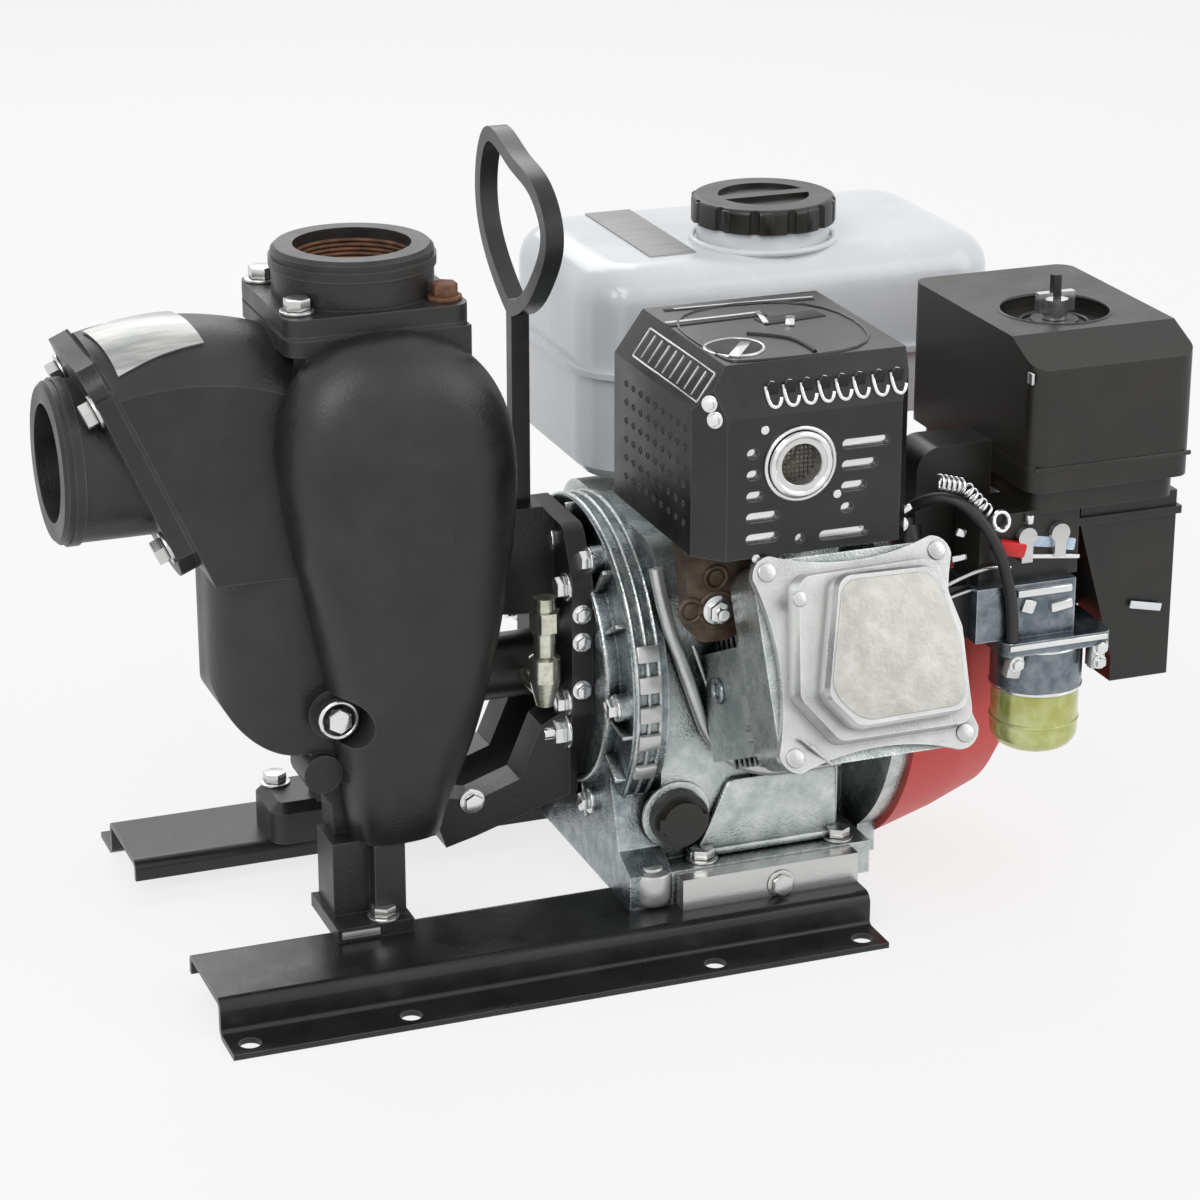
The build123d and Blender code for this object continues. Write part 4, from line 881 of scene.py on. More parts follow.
@dataclass
class PumpFittings:
    """Bolts, bare plate and rusty neck of the pump.

    Attributes:
        flange_bolts: Bolts on the discharge flange.
        rusty_bolt: The bolt of them that has rusted.
        bolt_across: Width of these heads across their flats.
        bolt_height: Their height.
        neck_middle: Middle of the discharge neck, in X and Y.
        neck_radius: Radius of the bore.
        neck_levels: Bottom and top of the threads in the neck.
        thread_pitch: Distance between threads.
        face_middle: Middle of the slanted face.
        face_lean: Lean of the face, degrees.
        face_bolts: Bolts on the face: Y, and height along the face.
        plate_middle: Middle of the bare plate in X and Y.
        plate_size: Its length and width.
        plate_turn: Its turn, degrees.
        plate_gap: How far it lies off the arch.
        plate_wall: Its thickness.
        plug: Front of the casing plug.
    """

    flange_bolts: tuple[Point, ...] = ((-99.0, -30.0, 333.0), (-99.0, 33.0, 333.0), (-25.0, 33.0, 333.0))
    rusty_bolt: Point = (-25.0, -30.0, 333.0)
    bolt_across: float = 11.5
    bolt_height: float = 7.5
    neck_middle: tuple[float, float] = (-62.0, 0.0)
    neck_radius: float = 29.0
    neck_levels: tuple[float, float] = (300.0, 355.0)
    thread_pitch: float = 2.3
    face_middle: Point = (-182.0, 0.0, 257.5)
    face_lean: float = 23.5
    face_bolts: tuple[tuple[float, float], ...] = ((-36.0, 43.0), (-36.0, -35.0), (36.0, 43.0), (36.0, -35.0))
    plate_middle: tuple[float, float] = (-170.0, -12.0)
    plate_size: tuple[float, float] = (45.0, 38.0)
    plate_turn: float = 12.0
    plate_gap: float = 0.4
    plate_wall: float = 1.1
    plug: Point = (-92.0, -58.0, 133.0)

    def build(self) -> None:
        """Make the pump's small pieces."""
        bolts = Piece("discharge_flange_bolts")
        for place in self.flange_bolts:
            bolts.bolt(place, UP, self.bolt_across, self.bolt_height)
        bolts.done(PLATED_STEEL)
        rusty = Piece("rusty_flange_bolt")
        rusty.bolt(self.rusty_bolt, UP, self.bolt_across, self.bolt_height + 0.5)
        rusty.done(RUST)
        self.face_heads()
        self.thread()
        self.bare_plate()
        self.plug_head()

    def face_heads(self) -> None:
        """Make the bolts on the slanted inlet flange."""
        lean = math.radians(self.face_lean)
        way = (-math.cos(lean), 0.0, -math.sin(lean))
        x, _, z = self.face_middle
        heads = Piece("inlet_flange_bolts")
        for across, height in self.face_bolts:
            place = (x - height * math.sin(lean), across, z + height * math.cos(lean))
            heads.bolt(place, way, self.bolt_across, self.bolt_height)
        heads.done(PLATED_STEEL)

    def thread(self) -> None:
        """Make the rusty thread in the discharge neck, one ring and its copies upwards."""
        low, high = self.neck_levels
        ring = Piece("discharge_thread")
        ring.ring((*self.neck_middle, low), UP, self.neck_radius - 0.1, self.thread_pitch * 0.42, 48)
        ring.repeat(int((high - low) / self.thread_pitch), (0.0, 0.0, self.thread_pitch))
        settle(ring.shape, RUST, "pump_set", WIRE_EDGE)
        floor = Piece("discharge_bore_floor")
        floor.drum((*self.neck_middle, low - 6.0), UP, self.neck_radius - 0.4, 5.0, 0.8, 40, dimple=2.0)
        floor.done(RUST)

    def bare_plate(self) -> None:
        """Make the bare plate that follows the suction arch."""
        free_hands()
        bpy.ops.mesh.primitive_grid_add(
            x_subdivisions=18, y_subdivisions=14, size=1.0, location=(0.0, 0.0, 0.0),
        )
        plate = bpy.context.object
        plate.name = "bare_plate"
        bpy.ops.object.mode_set(mode="EDIT")
        bpy.ops.mesh.select_all(action="SELECT")
        bpy.ops.transform.resize(value=(self.plate_size[0] * MM, self.plate_size[1] * MM, 1.0))
        bpy.ops.object.mode_set(mode="OBJECT")
        plate.rotation_euler = (0.0, 0.0, math.radians(self.plate_turn))
        plate.location = (*(Vector(self.plate_middle) * MM), 0.36)
        bpy.ops.object.transform_apply(location=True, rotation=True, scale=True)
        lay = plate.modifiers.new("lay", "SHRINKWRAP")
        lay.target = frame["nodes"]["pump_casing"]
        lay.wrap_method = "PROJECT"
        lay.use_project_z = True
        lay.use_negative_direction = True
        lay.use_positive_direction = False
        lay.offset = self.plate_gap * MM
        bpy.ops.object.modifier_apply(modifier=lay.name)
        wall = plate.modifiers.new("wall", "SOLIDIFY")
        wall.thickness = self.plate_wall * MM
        wall.offset = 1.0
        bpy.ops.object.modifier_apply(modifier=wall.name)
        settle(plate, BARE_PLATE, "pump_set")

    def plug_head(self) -> None:
        """Make the ring and hexagon head of the casing plug."""
        head = Piece("plug_head")
        head.ring(self.plug, FRONT, 9.2, 1.1)
        head.drum(self.plug, FRONT, 6.4, 4.0, 0.8, 6, dimple=1.0)
        head.done(BRIGHT_STEEL)


@dataclass
class AdaptorFittings:
    """Bolts and nuts between the pump and the engine.

    Attributes:
        ring_bolts: Bolts on the adaptor's engine plate, heads to the pump.
        side_bolts: Bolts on the adaptor's front.
        big_nut: The large nut low on the plate.
        lower_bolt: The bolt on the lower arm.
    """

    ring_bolts: tuple[Point, ...] = (
        (36.0, -35.0, 178.0),
        (36.0, 35.0, 178.0),
        (36.0, -35.0, 116.0),
        (36.0, 35.0, 116.0),
        (36.0, -10.0, 196.0),
    )
    side_bolts: tuple[Point, ...] = ((41.0, -42.0, 165.0), (41.0, -42.0, 150.0), (41.0, -42.0, 124.0))
    big_nut: Point = (36.0, -33.0, 99.0)
    lower_bolt: Point = (-16.0, -34.0, 68.0)

    def build(self) -> None:
        """Make the bolts."""
        heads = Piece("adaptor_bolts")
        for place in self.ring_bolts:
            heads.bolt(place, LEFT, 10.0, 7.0)
        for place in self.side_bolts:
            heads.bolt(place, FRONT, 7.0, 4.5)
        heads.stud_nut(self.big_nut, LEFT, 13.0, 13.0)
        heads.bolt(self.lower_bolt, FRONT, 9.0, 5.0)
        heads.done(BRIGHT_STEEL)


@dataclass
class FootFittings:
    """Bolts of the pump's feet and the engine's base, with the base's lug.

    Attributes:
        down_bolts: Bolts that stand on the feet and the base.
        bar_bolts: The bolts in the two mount bars.
        lip: Bright strip on the front foot plate's edge, a painted highlight.
        lug: Foot of the round lug at the base's corner.
    """

    down_bolts: tuple[Point, ...] = (
        (-74.0, -66.0, 27.0), (-88.0, 82.0, 42.0),
        (92.0, -81.0, 38.0), (167.6, -81.0, 38.0), (92.0, 81.0, 38.0), (167.6, 81.0, 38.0),
    )
    bar_bolts: tuple[Point, ...] = ((127.6, -100.0, 27.0), (127.6, 100.0, 27.0))
    lip: Block = Block((-88.0, -73.3, 23.4), (20.0, 1.6, 4.0), 0.6)
    lug: Point = (63.0, -83.0, 20.0)

    def build(self) -> None:
        """Make the bolts, the bright edge and the lug."""
        heads = Piece("base_bolts")
        for place in self.down_bolts:
            heads.bolt(place, UP, 11.0, 6.5)
        for place in self.bar_bolts:
            heads.bolt(place, FRONT if place[1] < 0 else BACK, 10.0, 4.5)
        heads.done(PLATED_STEEL)
        # Bright strip on the front foot plate's edge: painted highlight
        make_blocks("foot_lips", (self.lip,), BARE_PLATE)
        x, y, z = self.lug
        lug = Piece("base_lug")
        lug.drum((x, y, z), UP, 11.5, 19.0, 4.0, 32)
        lug.drum((x, y, z + 16.0), UP, 6.5, 4.5, 1.2, 24, dimple=0.8)
        lug.done(COVER_ALLOY)


@dataclass
class EngineFittings:
    """Bolts, ribs and small pieces of the engine block.

    Attributes:
        shaft: Height of the shaft.
        cover_reach: Distance of the cover's bolts from the shaft.
        cover_face: X of the cover's face.
        ridges: X of the ridges round the cover's wall.
        pad_angles: Angles of the pads on the cover's wall, up from the front.
        rim: Route of the rim round the cylinder's foot.
        exhaust_nut: Nut on the exhaust flange.
        exhaust_holes: Ringed holes of the flange.
        head_middle: Middle of the rocker cover's face.
        head_lean: Lean of the cylinder, degrees.
        panel: Corners of the rough panel, across and up the face.
        panel_screw: The small screw beside it: across, up, behind the face.
        corner_screws: The screws in the cover's corners, likewise.
        front_panel: Corners of the panel on the block's front.
        ledge: The ledge below that panel.
        filler_boss: Foot of the boss round the oil filler.
        side_pads: Pads on the cylinder's left side: across, up, behind the
            face, and size.
        loop: Middle of the loop among the pads.
    """

    shaft: float = 126.0
    cover_reach: float = 76.0
    cover_face: float = 47.0
    ridges: tuple[float, ...] = (55.5, 61.5, 67.5)
    pad_angles: tuple[float, ...] = (19.5, 9.0, -1.5, -12.0, -25.0)
    rim: tuple[Point, ...] = (
        (69.0, -72.0, 196.0), (72.0, -77.0, 172.0), (79.0, -79.0, 151.0),
        (87.0, -79.5, 128.0), (94.0, -80.0, 107.0), (104.0, -80.5, 94.0),
        (118.0, -81.0, 85.0), (134.0, -81.5, 81.5), (168.0, -80.0, 82.0),
    )
    exhaust_nut: Point = (81.0, -122.0, 190.5)
    exhaust_holes: tuple[Point, ...] = ((67.5, -122.0, 191.5), (80.5, -122.0, 207.0))
    head_middle: Point = (138.0, -198.0, 186.0)
    head_lean: float = 25.0
    panel: tuple[tuple[float, float], ...] = (
        (-32.0, -13.0), (-19.0, -28.5), (35.0, -27.5), (37.5, 4.0), (28.5, 37.5), (-18.0, 38.5),
    )
    panel_screw: Point = (-36.0, 33.0, 13.0)
    corner_screws: tuple[Point, ...] = (
        (-46.5, -41.0, 23.5), (-46.5, 48.0, 23.5), (42.5, 48.0, 23.5), (42.5, -41.0, 23.5),
    )
    front_panel: tuple[Point, ...] = (
        (90.0, -76.0, 41.0), (168.0, -76.0, 41.0), (168.0, -74.4, 78.0), (108.0, -74.4, 78.0),
    )
    ledge: Block = Block((127.0, -77.5, 41.0), (84.0, 8.0, 4.4), 1.4)
    filler_boss: Point = (80.0, -73.0, 62.0)
    side_pads: tuple[tuple[Point, Point], ...] = (
        ((-45.4, 9.0, 66.0), (3.0, 15.0, 20.0)),
        ((-45.4, -14.0, 71.0), (3.0, 17.0, 15.0)),
        ((-45.2, -27.0, 74.0), (2.6, 19.0, 5.0)),
    )
    loop: Point = (92.4, -98.0, 137.0)

    def build(self) -> None:
        """Make the engine's pieces."""
        self.cover_bolts()
        self.cover_ribs()
        self.flange_nuts()
        self.rocker_pieces()
        self.block_front()
        self.cylinder_pads()

    def on_cover(self, x: float, angle: float, radius: float) -> Point:
        """Place round the shaft.

        Args:
            x: Place along the shaft.
            angle: Angle up from the front, degrees.
            radius: Distance from the shaft.

        Returns:
            The place, millimetres.
        """
        turn = math.radians(angle)
        return (x, -radius * math.cos(turn), self.shaft + radius * math.sin(turn))

    def cover_bolts(self) -> None:
        """Make the six bolts round the crankcase cover."""
        heads = Piece("cover_bolts")
        for step in range(6):
            heads.bolt(self.on_cover(self.cover_face, step * 60.0, self.cover_reach), LEFT, 9.0, 6.0)
        heads.done(BRIGHT_STEEL)

    def cover_ribs(self) -> None:
        """Make the ribs, ridges and pads of the crankcase cover."""
        ribs = Piece("cover_ribs")
        for step in range(18):
            if step % 3 != 1:
                angle = step * 20.0 - 10.0
                middle = self.on_cover(50.5, angle, 75.0)
                ribs.block(Block(middle, (6.0, 18.0, 2.4), 0.8, (-angle, 0.0, 0.0)))
        for x in self.ridges:
            ribs.ring((x, 0.0, self.shaft), LEFT, 84.0, 1.3, 72)
        ribs.ring((self.cover_face, 0.0, self.shaft), LEFT, 64.0, 1.6, 72)
        ribs.done(CAST_ALLOY)
        pads = tuple(
            Block(self.on_cover(61.5, angle, 85.0), (12.0, 4.4, 9.0), 1.4, (-angle, 0.0, 0.0))
            for angle in self.pad_angles
        )
        make_blocks("cover_pads", pads, COVER_ALLOY)

    def flange_nuts(self) -> None:
        """Make the nut and the ringed holes of the exhaust flange."""
        nut = Piece("exhaust_nut")
        nut.stud_nut(self.exhaust_nut, FRONT, 10.0, 10.0)
        nut.done(BRIGHT_STEEL)
        rings = Piece("exhaust_rings")
        for place in self.exhaust_holes:
            rings.ring(place, FRONT, 5.6, 1.3)
            rings.drum(place, FRONT, 4.0, 1.0, 0.3, 20, dimple=0.6)
        rings.ring(self.exhaust_nut, FRONT, 9.0, 1.3)
        rings.done(HEAT_STAINED)

    def tilted(self, across: float, height: float, depth: float) -> Point:
        """Place in the inclined cylinder's own directions.

        Args:
            across: Distance along X from the rocker cover's middle.
            height: Distance up the cover's face.
            depth: Distance behind its face.

        Returns:
            The place, millimetres.
        """
        lean = math.radians(self.head_lean)
        x, y, z = self.head_middle
        y += height * math.sin(lean) + depth * math.cos(lean)
        z += height * math.cos(lean) - depth * math.sin(lean)
        return (x + across, y, z)

    def rocker_pieces(self) -> None:
        """Make the rough panel of the rocker cover, its screws and its webs."""
        panel = Piece("rocker_panel")
        panel.tile([self.tilted(across, height, 0.0) for across, height in self.panel], 0.7, 7.0, 0.5)
        panel.done(PANEL_ALLOY)
        lean = math.radians(self.head_lean)
        way = (0.0, -math.cos(lean), math.sin(lean))
        screws = Piece("rocker_screws")
        screws.drum(self.tilted(*self.panel_screw), way, 3.6, 2.2, 0.6, 20, dimple=0.8)
        for place in self.corner_screws:
            screws.drum(self.tilted(*place), way, 4.6, 2.6, 0.8, 24, dimple=0.9)
        screws.done(COVER_ALLOY)
        turn = (-self.head_lean, 45.0, 0.0)
        webs = tuple(
            Block(self.tilted(-38.0 + step, -37.0 - step, 21.5), (16.0, 2.4, 1.4), 0.5, turn)
            for step in (0.0, 4.5)
        )
        make_blocks("rocker_webs", webs, COVER_ALLOY)

    def block_front(self) -> None:
        """Make the rim round the cylinder's foot and the panel below it."""
        make_wire("cylinder_rim", list(self.rim), 3.6, COVER_ALLOY)
        inner = [(x + 7.0, y - 1.0, z + 5.0) for x, y, z in self.rim[2:-1]]
        make_wire("cylinder_inner_rim", inner, 1.3, CAST_ALLOY)
        front = Piece("block_panel")
        front.tile(list(self.front_panel), 2.5, 4.0, 1.0)
        front.block(self.ledge)
        front.drum(self.filler_boss, FRONT, 18.5, 2.5, 0.8, 32)
        front.done(CAST_ALLOY)

    def cylinder_pads(self) -> None:
        """Make the pads and the loop on the cylinder's left side."""
        pads = Piece("cylinder_pads")
        for (place, size), edge in zip(self.side_pads, (1.2, 1.2, 1.0)):
            pads.block(Block(self.tilted(*place), size, edge, (-self.head_lean, 0.0, 0.0)))
        pads.done(COVER_ALLOY)
        x, y, z = self.loop
        loop = Piece("cylinder_loop")
        loop.ring((x, y, z), LEFT, 5.4, 1.3, 24)
        loop.drum((x + 1.0, y, z), LEFT, 3.0, 1.2, 0.4, 20)
        loop.done(SHADED_ALLOY)


@dataclass
class GuardDetails:
    """Pressed work and bolts of the muffler guard.

    Attributes:
        band: X of the slanted slots on the front bevel.
        band_levels: Heights of these slots' lower and upper ends.
        bevel_foot: Y and Z of the front bevel's lower edge.
        bevel_run: How far the bevel goes back and up.
        side_lean: Lean of the left bevel, degrees.
        side_bars: X, Y, Z and length of the bars that frame its slots.
        hole: The first small hole in the left face.
        hole_step: Distance between these holes.
        tail: Middle of the tail pipe's end.
        corner_bolts: Bolts on the left corner.
        spots: Rivets on the front.
        top: Height of the guard's top.
        dark_slots: Near-black slabs of painted shade at the bottoms of the slots in the top.
        eye: Route round the eye in the top.
        straps: Bright straps over the slots in the top.
        band_rows: Left ends, top level and lengths of the shell's bright
            bands behind the front slots.
        low_bands: The two bands in the lowest row.
    """

    band: tuple[float, ...] = (97.0, 106.0, 115.0, 124.0, 133.0, 142.0, 152.0, 161.5)
    band_levels: tuple[float, float] = (299.5, 312.0)
    bevel_foot: tuple[float, float] = (-152.0, 296.0)
    bevel_run: tuple[float, float] = (9.0, 24.0)
    side_lean: float = 35.5
    side_bars: tuple[tuple[Point, Point], ...] = (
        ((62.4, -98.2, 302.4), (1.0, 82.0, 1.0)),
        ((71.6, -98.2, 315.3), (1.0, 82.0, 1.0)),
        ((67.0, -57.0, 308.8), (1.0, 1.0, 16.0)),
        ((67.0, -139.2, 308.8), (1.0, 1.0, 16.0)),
    )
    hole: Point = (60.0, -54.0, 240.0)
    hole_step: float = 9.5
    tail: Point = (110.0, -155.0, 271.0)
    corner_bolts: tuple[Point, ...] = ((66.5, -145.5, 303.0), (68.5, -147.5, 295.5))
    spots: tuple[Point, ...] = ((91.6, -152.0, 289.5), (129.5, -152.0, 253.5), (88.0, -152.0, 226.0))
    top: float = 320.0
    dark_slots: tuple[Block, ...] = (
        Block((122.0, -48.5, 320.1), (78.0, 3.6, 0.8), 0.35, (0.0, 0.0, -4.5)),
        Block((101.0, -70.0, 320.1), (52.0, 6.0, 0.8), 0.35, (0.0, 0.0, 2.0)),
        Block((136.0, -79.0, 320.1), (34.0, 12.0, 0.8), 0.35, (0.0, 0.0, 8.0)),
    )
    eye: tuple[tuple[float, float], ...] = (
        (79.5, -106.0), (98.0, -101.0), (107.0, -117.0), (98.0, -132.0), (82.0, -132.0), (74.5, -119.0),
    )
    straps: tuple[Block, ...] = (
        Block((91.0, -123.0, 320.6), (5.5, 24.0, 1.6), 0.5, (0.0, 0.0, -36.0)),
        Block((122.5, -75.5, 320.6), (3.0, 20.0, 1.6), 0.5, (0.0, 0.0, -12.0)),
        Block((133.0, -86.0, 320.6), (4.5, 15.0, 1.6), 0.5, (0.0, 0.0, -24.0)),
    )
    band_rows: tuple[tuple[float, float, tuple[float, ...]], ...] = (
        (132.0, 277.5, (25.0, 19.0, 13.0, 6.5)),
        (83.0, 278.0, (6.0, 7.0, 9.0, 17.0, 17.0)),
    )
    low_bands: tuple[Block, ...] = (
        Block((134.0, -149.6, 233.0), (26.0, 0.8, 5.0), 0.3),
        Block((111.0, -149.6, 233.0), (5.0, 0.8, 5.0), 0.3),
    )

    def on_bevel(self, x: float, level: float, out: float = 0.0) -> Point:
        """Place on the guard's front bevel at a height.

        Args:
            x: Place along X.
            level: Height.
            out: Distance out of the bevel.

        Returns:
            The place, millimetres.
        """
        back, up = self.bevel_run
        slope = math.hypot(back, up)
        y = self.bevel_foot[0] + (level - self.bevel_foot[1]) * back / up
        return (x, y - out * up / slope, level + out * back / slope)

    def build(self) -> None:
        """Make the guard's pieces."""
        self.front_band()
        self.side_band()
        self.side_holes()
        self.top_panel()
        self.tail_end()
        self.shell_glints()
        self.fixings()

    def front_band(self) -> None:
        """Make the slanted slots on the front bevel: near-black mouths of painted shade, bright lips of
        painted highlight and a painted glint in each.
        """
        low, high = self.band_levels
        middle = (low + high) / 2
        # Near-black slabs in the slot mouths: painted shade
        mouths = tuple(
            Block(self.on_bevel(x, middle, 0.1), (5.4, 0.8, high - low), 0.35, (20.6, 0.0, 0.0))
            for x in self.band
        )
        make_blocks("front_slot_mouths", mouths, SHADE_BLACK)
        route = ((-3.4, high - 3.0), (-3.0, low + 2.0), (0.5, low - 0.6), (3.6, low + 1.4), (4.0, low + 4.0))
        # Bright steel lips round the slots' lower ends: painted highlights
        for number, x in enumerate(self.band):
            lip = [self.on_bevel(x + step, level, 0.5) for step, level in route]
            make_wire(f"front_slot_highlight_lip_{number + 1}", lip, 1.0, BRIGHT_STEEL)
        # Small bright blocks high in the slots: painted glints
        backs = tuple(
            Block(self.on_bevel(x - 0.6, high - 2.6, 0.35), (2.4, 0.9, 4.6), 0.4, (20.6, 16.0, 0.0))
            for x in self.band
        )
        make_blocks("front_slot_glints", backs, BRIGHT_STEEL)

    def side_band(self) -> None:
        """Make the framed row of slots on the left bevel, drawn as bright bars of painted highlight."""
        slots = tuple(((67.0, -66.0 - step * 9.2, 308.8), (1.0, 1.0, 13.0)) for step in range(8))
        lean = (0.0, self.side_lean, 0.0)
        # Bright steel bars on the black guard: painted highlights
        row = tuple(Block(middle, size, 0.3, lean) for middle, size in slots + self.side_bars)
        make_blocks("side_slots", row, BRIGHT_STEEL)

    def side_holes(self) -> None:
        """Make one small pressed hole and its copies over the left face."""
        hole = Piece("side_holes")
        hole.ring(self.hole, LEFT, 1.5, 0.4, 12)
        hole.repeat(9, (0.0, -self.hole_step, 0.0))
        hole.repeat(6, (0.0, 0.0, self.hole_step))
        settle(hole.shape, BLACK_SHEET, "pump_set", WIRE_EDGE)

    def top_panel(self) -> None:
        """Make the raised panel on the guard's top, with painted shade in its long slots and eye and painted
        highlights on their lips.
        """
        top = self.top
        edge = [(x, y, top) for x, y in ((77, -48), (77, -134), (84, -142), (163, -142), (163, -48))]
        make_wire("panel_edge", edge, 0.9, BLACK_SHEET, closed=True)
        # Near-black slabs in the slots and the eye: painted shade
        dark = Piece("panel_slots")
        for slot in self.dark_slots:
            dark.block(slot)
        dark.drum((91.5, -117.0, top - 0.4), UP, 13.5, 0.9, 0.3, 28)
        dark.done(SHADE_BLACK)
        # Bright lips along the slots and round the eye: painted highlights
        lips = [(88.0, -45.8, top), (122.0, -46.2, top), (161.0, -49.4, top)]
        make_wire("long_slot_lip", lips, 0.8, BRIGHT_STEEL)
        lips = [(75.5, -66.5, top), (100.0, -66.5, top), (124.5, -65.5, top)]
        make_wire("short_slot_lip", lips, 0.8, BRIGHT_STEEL)
        make_wire("eye_lip", [(x, y, top) for x, y in self.eye], 0.9, PLATED_STEEL, closed=True)
        # Near-black line along the arch's crease: painted shade
        arch = [(105.0, -98.0, top), (119.0, -107.0, top), (124.0, -122.0, top), (123.5, -137.0, top)]
        make_wire("arch_crease", arch, 1.2, SHADE_BLACK)
        make_blocks("panel_straps", self.straps, BRIGHT_STEEL)

    def shell_glints(self) -> None:
        """Make the bright bands of the muffler's shell that show in the front slots."""
        bands = tuple(
            Block((left + length / 2, -149.6, level - row * 10.6), (length, 0.8, 5.0), 0.3)
            for left, level, lengths in self.band_rows
            for row, length in enumerate(lengths)
        )
        make_blocks("shell_bands", bands + self.low_bands, BRIGHT_STEEL)

    def tail_end(self) -> None:
        """Make the bright rings and the mesh of the tail pipe."""
        x, y, z = self.tail
        rings = Piece("tail_rings")
        rings.ring((x, y + 0.6, z), FRONT, 14.6, 1.7, 40)
        rings.ring((x, y + 2.0, z), FRONT, 17.6, 1.1, 40)
        rings.ring((x, y + 1.2, z), FRONT, 11.2, 1.0, 40)
        rings.done(BRIGHT_STEEL)
        screen = Piece("tail_screen")
        for step in range(-4, 5):
            side = step * 2.2
            length = 2 * math.sqrt(10.2**2 - side**2)
            screen.block(Block((x + side, y + 8.0, z), (0.5, 0.5, length), 0.12))
            screen.block(Block((x, y + 8.5, z + side), (length, 0.5, 0.5), 0.12))
        screen.done(HEAT_STAINED)

    def fixings(self) -> None:
        """Make the bolts and rivets of the guard."""
        heads = Piece("guard_bolts")
        for place in self.corner_bolts:
            heads.bolt(place, (-0.70, -0.70, 0.15), 5.5, 3.2)
        for place in self.spots:
            heads.drum(place, FRONT, 2.2, 1.2, 0.4, 16)
        heads.done(BRIGHT_STEEL)


@dataclass
class CarburettorFittings:
    """Springs, links, clamps and levers round the carburettor.

    Attributes:
        spring: Upper end, bend and lower end of the governor spring.
        throttle_link: Route of the upper link.
        governor_link: Route of the lower link.
        knob: The red knob.
        plates: The blue plate behind the levers.
        lever_edge: The bright edge below the levers.
        bright_edges: Bright strips along the carburettor body's edges, painted highlights.
        clamps: The clamp and the lug at its sides.
        bowl: Middle of the bowl in X and Y.
        clips: Clips between the plug cap and the guard.
    """

    spring: tuple[Point, Point, Point] = (
        (184.0, -151.0, 252.5), (198.0, -151.0, 248.5), (210.5, -152.0, 234.5),
    )
    throttle_link: tuple[Point, ...] = (
        (188.0, -150.0, 197.0), (200.0, -152.0, 203.0), (216.0, -152.5, 206.0), (224.0, -152.0, 204.0),
    )
    governor_link: tuple[Point, ...] = (
        (190.0, -149.0, 190.0), (206.0, -151.0, 196.0), (222.0, -151.0, 195.0),
    )
    knob: Block = Block((223.5, -152.6, 214.0), (16.0, 5.0, 8.0), 1.8, (0.0, 14.0, 0.0))
    plates: tuple[Block, ...] = (
        Block((247.0, -149.2, 213.5), (27.0, 1.8, 6.5), 0.8, (0.0, 10.0, 0.0)),
        Block((258.0, -148.65, 211.0), (6.0, 3.0, 7.0), 1.0, (0.0, 10.0, 0.0)),
    )
    lever_edge: Block = Block((247.5, -151.6, 206.8), (29.0, 2.4, 2.2), 0.6, (0.0, 7.0, 0.0))
    bright_edges: tuple[Block, ...] = (
        Block((246.0, -164.6, 166.0), (54.0, 1.8, 3.0), 0.6),
        Block((240.0, -158.0, 192.0), (30.0, 4.0, 4.0), 1.0),
        Block((232.0, -157.4, 184.5), (7.0, 3.0, 7.0), 1.0, (0.0, 20.0, 0.0)),
        Block((250.0, -157.6, 183.0), (12.0, 3.4, 5.0), 1.0, (0.0, -8.0, 0.0)),
    )
    clamps: tuple[Block, ...] = (
        Block((269.5, -160.0, 157.0), (8.0, 6.0, 18.0), 1.4),
        Block((224.0, -160.0, 157.0), (8.0, 6.0, 16.0), 1.6, (0.0, 12.0, 0.0)),
    )
    bowl: tuple[float, float] = (247.0, -140.0)
    clips: tuple[Block, ...] = (
        Block((171.0, -143.5, 238.0), (5.0, 2.0, 3.0), 0.6, (0.0, -30.0, 0.0)),
        Block((198.0, -148.5, 224.0), (5.0, 2.0, 4.0), 0.7, (0.0, 20.0, 0.0)),
        Block((197.5, -148.5, 211.0), (8.0, 2.0, 3.0), 0.7, (0.0, -5.0, 0.0)),
    )

    def build(self) -> None:
        """Make the carburettor's small pieces."""
        start, bend, end = self.spring
        coils = coil_points(start, bend, 2.6, 5) + coil_points(bend, end, 2.6, 5)
        make_wire("governor_spring", coils, 0.75, BRIGHT_STEEL)
        self.levers()
        self.screws()
        self.bowl_parts()
        clips = Piece("plug_clips")
        clips.bolt((168.0, -143.5, 230.5), (-0.3, -1.0, 0.4), 5.0, 3.0)
        for clip in self.clips:
            clips.block(clip)
        clips.done(BRIGHT_STEEL)

    def levers(self) -> None:
        """Make the ring, the red knob, the blue plate and the links."""
        rings = Piece("spring_ring")
        rings.ring((217.5, -153.0, 229.0), (0.2, -1.0, 0.3), 4.6, 1.2)
        rings.drum((233.5, -152.0, 225.5), UP, 2.2, 4.5, 0.7, 16)
        rings.done(BRIGHT_STEEL)
        make_blocks("red_knob", (self.knob,), KNOB_RED)
        make_blocks("blue_plate", self.plates, LEVER_BLUE)
        make_blocks("lever_edge", (self.lever_edge,), BRIGHT_STEEL)
        make_wire("throttle_link", list(self.throttle_link), 1.0, PLATED_STEEL)
        make_wire("governor_link", list(self.governor_link), 0.8, PLATED_STEEL)

    def screws(self) -> None:
        """Make the bright edges, the clamps and the screws in them."""
        # Bright strips along the carburettor's edges: painted highlights
        make_blocks("carburettor_edges", self.bright_edges, BRIGHT_STEEL)
        make_blocks("carburettor_clamp", self.clamps, COVER_ALLOY)
        screws = Piece("carburettor_screws")
        for x, z, across in ((270.0, 160.0, 6.0), (270.0, 152.0, 5.0), (224.0, 157.0, 5.5)):
            screws.bolt((x, -163.0, z), FRONT, across, 3.0)
        screws.done(BRIGHT_STEEL)

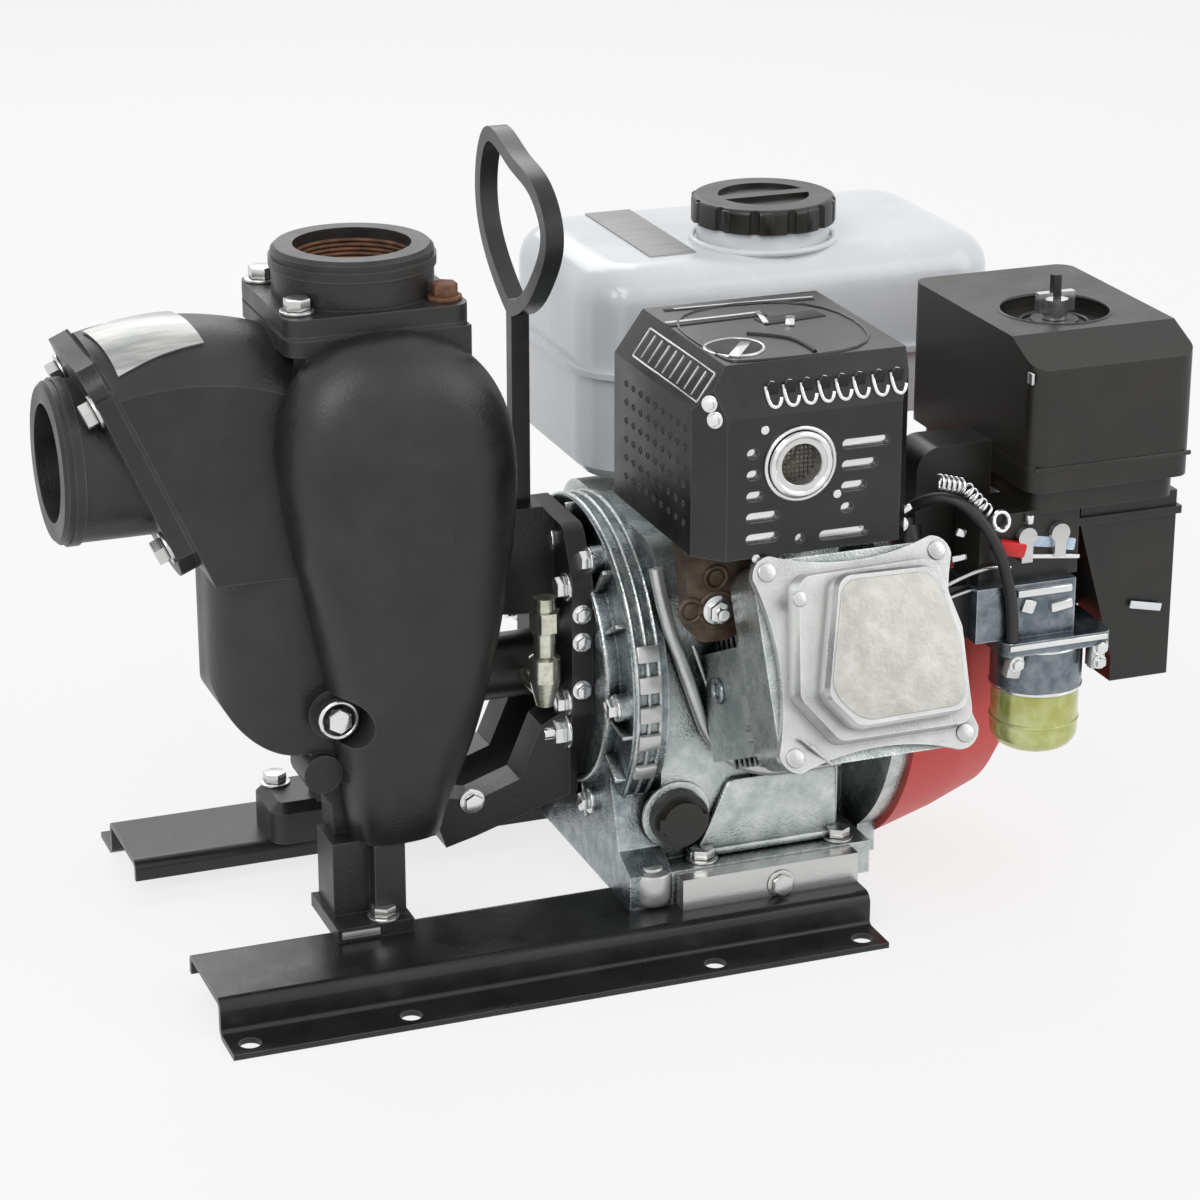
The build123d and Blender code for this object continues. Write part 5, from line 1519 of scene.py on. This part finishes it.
    def bowl_parts(self) -> None:
        """Make the rims of the bowl and the bolt below it."""
        rims = Piece("bowl_rims")
        rims.ring((*self.bowl, 137.2), UP, 22.6, 1.0, 40)
        rims.ring((*self.bowl, 160.0), UP, 22.9, 0.9, 40)
        rims.done(BRIGHT_STEEL)
        band = Piece("bowl_step")
        band.ring((*self.bowl, 119.0), UP, 21.6, 1.1, 40)
        band.drum((*self.bowl, 104.0), DOWN, 7.0, 4.0, 0.8, 6)
        band.done(YELLOW_PLATING)


@dataclass
class CleanerFittings:
    """Dish, clip and bands of the air cleaner.

    Attributes:
        stud: Middle of the cover's stud in X and Y.
        clip: The bright clip at the cover's corner.
        seam: The band along the cover's front.
        bracket_corners: Corners of the sheet that hides the housing behind
            the duct.
        tab: The pale tab on the duct.
    """

    stud: tuple[float, float] = (271.0, -98.0)
    clip: Block = Block((228.6, -156.0, 301.0), (1.8, 5.0, 6.0), 0.7)
    seam: Block = Block((273.5, -160.0, 255.0), (86.0, 1.6, 2.4), 0.7)
    bracket_corners: tuple[Point, ...] = (
        (262.0, -117.4, 231.0), (262.0, -117.4, 166.0), (300.0, -117.4, 166.0), (300.0, -117.4, 231.0),
    )
    tab: Block = Block((303.0, -148.3, 172.0), (18.0, 1.0, 4.0), 0.4, (0.0, 12.0, 0.0))

    def build(self) -> None:
        """Make the cleaner's small pieces."""
        dish = Piece("cover_dish")
        dish.ring((*self.stud, 315.6), UP, 28.0, 1.0, 48)
        dish.ring((*self.stud, 309.6), UP, 17.0, 1.0, 40)
        dish.done(BLACK_MOULDING)
        washer = Piece("stud_washer")
        washer.drum((*self.stud, 309.0), UP, 9.5, 1.6, 0.4, 28)
        washer.done(PLATED_STEEL)
        make_blocks("cover_clip", (self.clip,), PLATED_STEEL)
        make_blocks("cover_seam", (self.seam,), BLACK_MOULDING)
        bracket = Piece("cleaner_bracket")
        bracket.tile(list(self.bracket_corners), 2.0, 4.0, 0.4)
        bracket.done(BLACK_SHEET)
        make_blocks("duct_tab", (self.tab,), TANK_PAINT)


@dataclass
class TankFittings:
    """Bare plate on the tank's top, the bead round its neck and the cap's ribs.

    Attributes:
        plate: The grey plate.
        neck: Middle of the filler neck's foot.
        neck_radius: Radius of the bead.
        rib_reach: Distance of the cap's ribs from its middle.
        rib_level: Height of their middles.
        rib_count: How many there are.
    """

    plate: Block = Block((124.0, 92.0, 322.3), (26.0, 96.0, 0.9), 0.3)
    neck: Point = (182.0, 62.0, 323.0)
    neck_radius: float = 38.0
    rib_reach: float = 37.6
    rib_level: float = 338.6
    rib_count: int = 10

    def build(self) -> None:
        """Make the tank's small pieces."""
        make_blocks("tank_plate", (self.plate,), GREY_PLATE)
        bead = Piece("neck_bead")
        bead.ring(self.neck, UP, self.neck_radius, 1.6, 56)
        bead.done(TANK_PAINT)
        x, y, _ = self.neck
        ribs = Piece("cap_ribs")
        for step in range(self.rib_count):
            angle = step * math.tau / self.rib_count
            across, back = self.rib_reach * math.cos(angle), self.rib_reach * math.sin(angle)
            turn = (0.0, 0.0, math.degrees(angle))
            ribs.block(Block((x + across, y + back, self.rib_level), (1.6, 5.0, 11.0), 0.6, turn))
        ribs.done(BLACK_MOULDING, "fuel_cap")


def dress_nodes() -> None:
    """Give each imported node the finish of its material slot."""
    for entry in frame["record"]["subparts"]:
        node = frame["nodes"][entry["node"]]
        finish = NODE_FINISH.get(entry["node"], SLOT_FINISH[entry["material_slot"]])
        node.data.materials.clear()
        node.data.materials.append(finish.make())
        log.info("dressed %s as %s", node.name, finish.name)


def main() -> None:
    """Build the scene in order."""
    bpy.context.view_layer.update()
    bpy.context.scene.view_settings.view_transform = "Standard"
    Viewpoint().build()
    IgnitionLead().build()
    Studio().build()
    dress_nodes()
    PumpFittings().build()
    AdaptorFittings().build()
    FootFittings().build()
    EngineFittings().build()
    GuardDetails().build()
    CarburettorFittings().build()
    CleanerFittings().build()
    TankFittings().build()


if __name__ == "__main__":
    main()
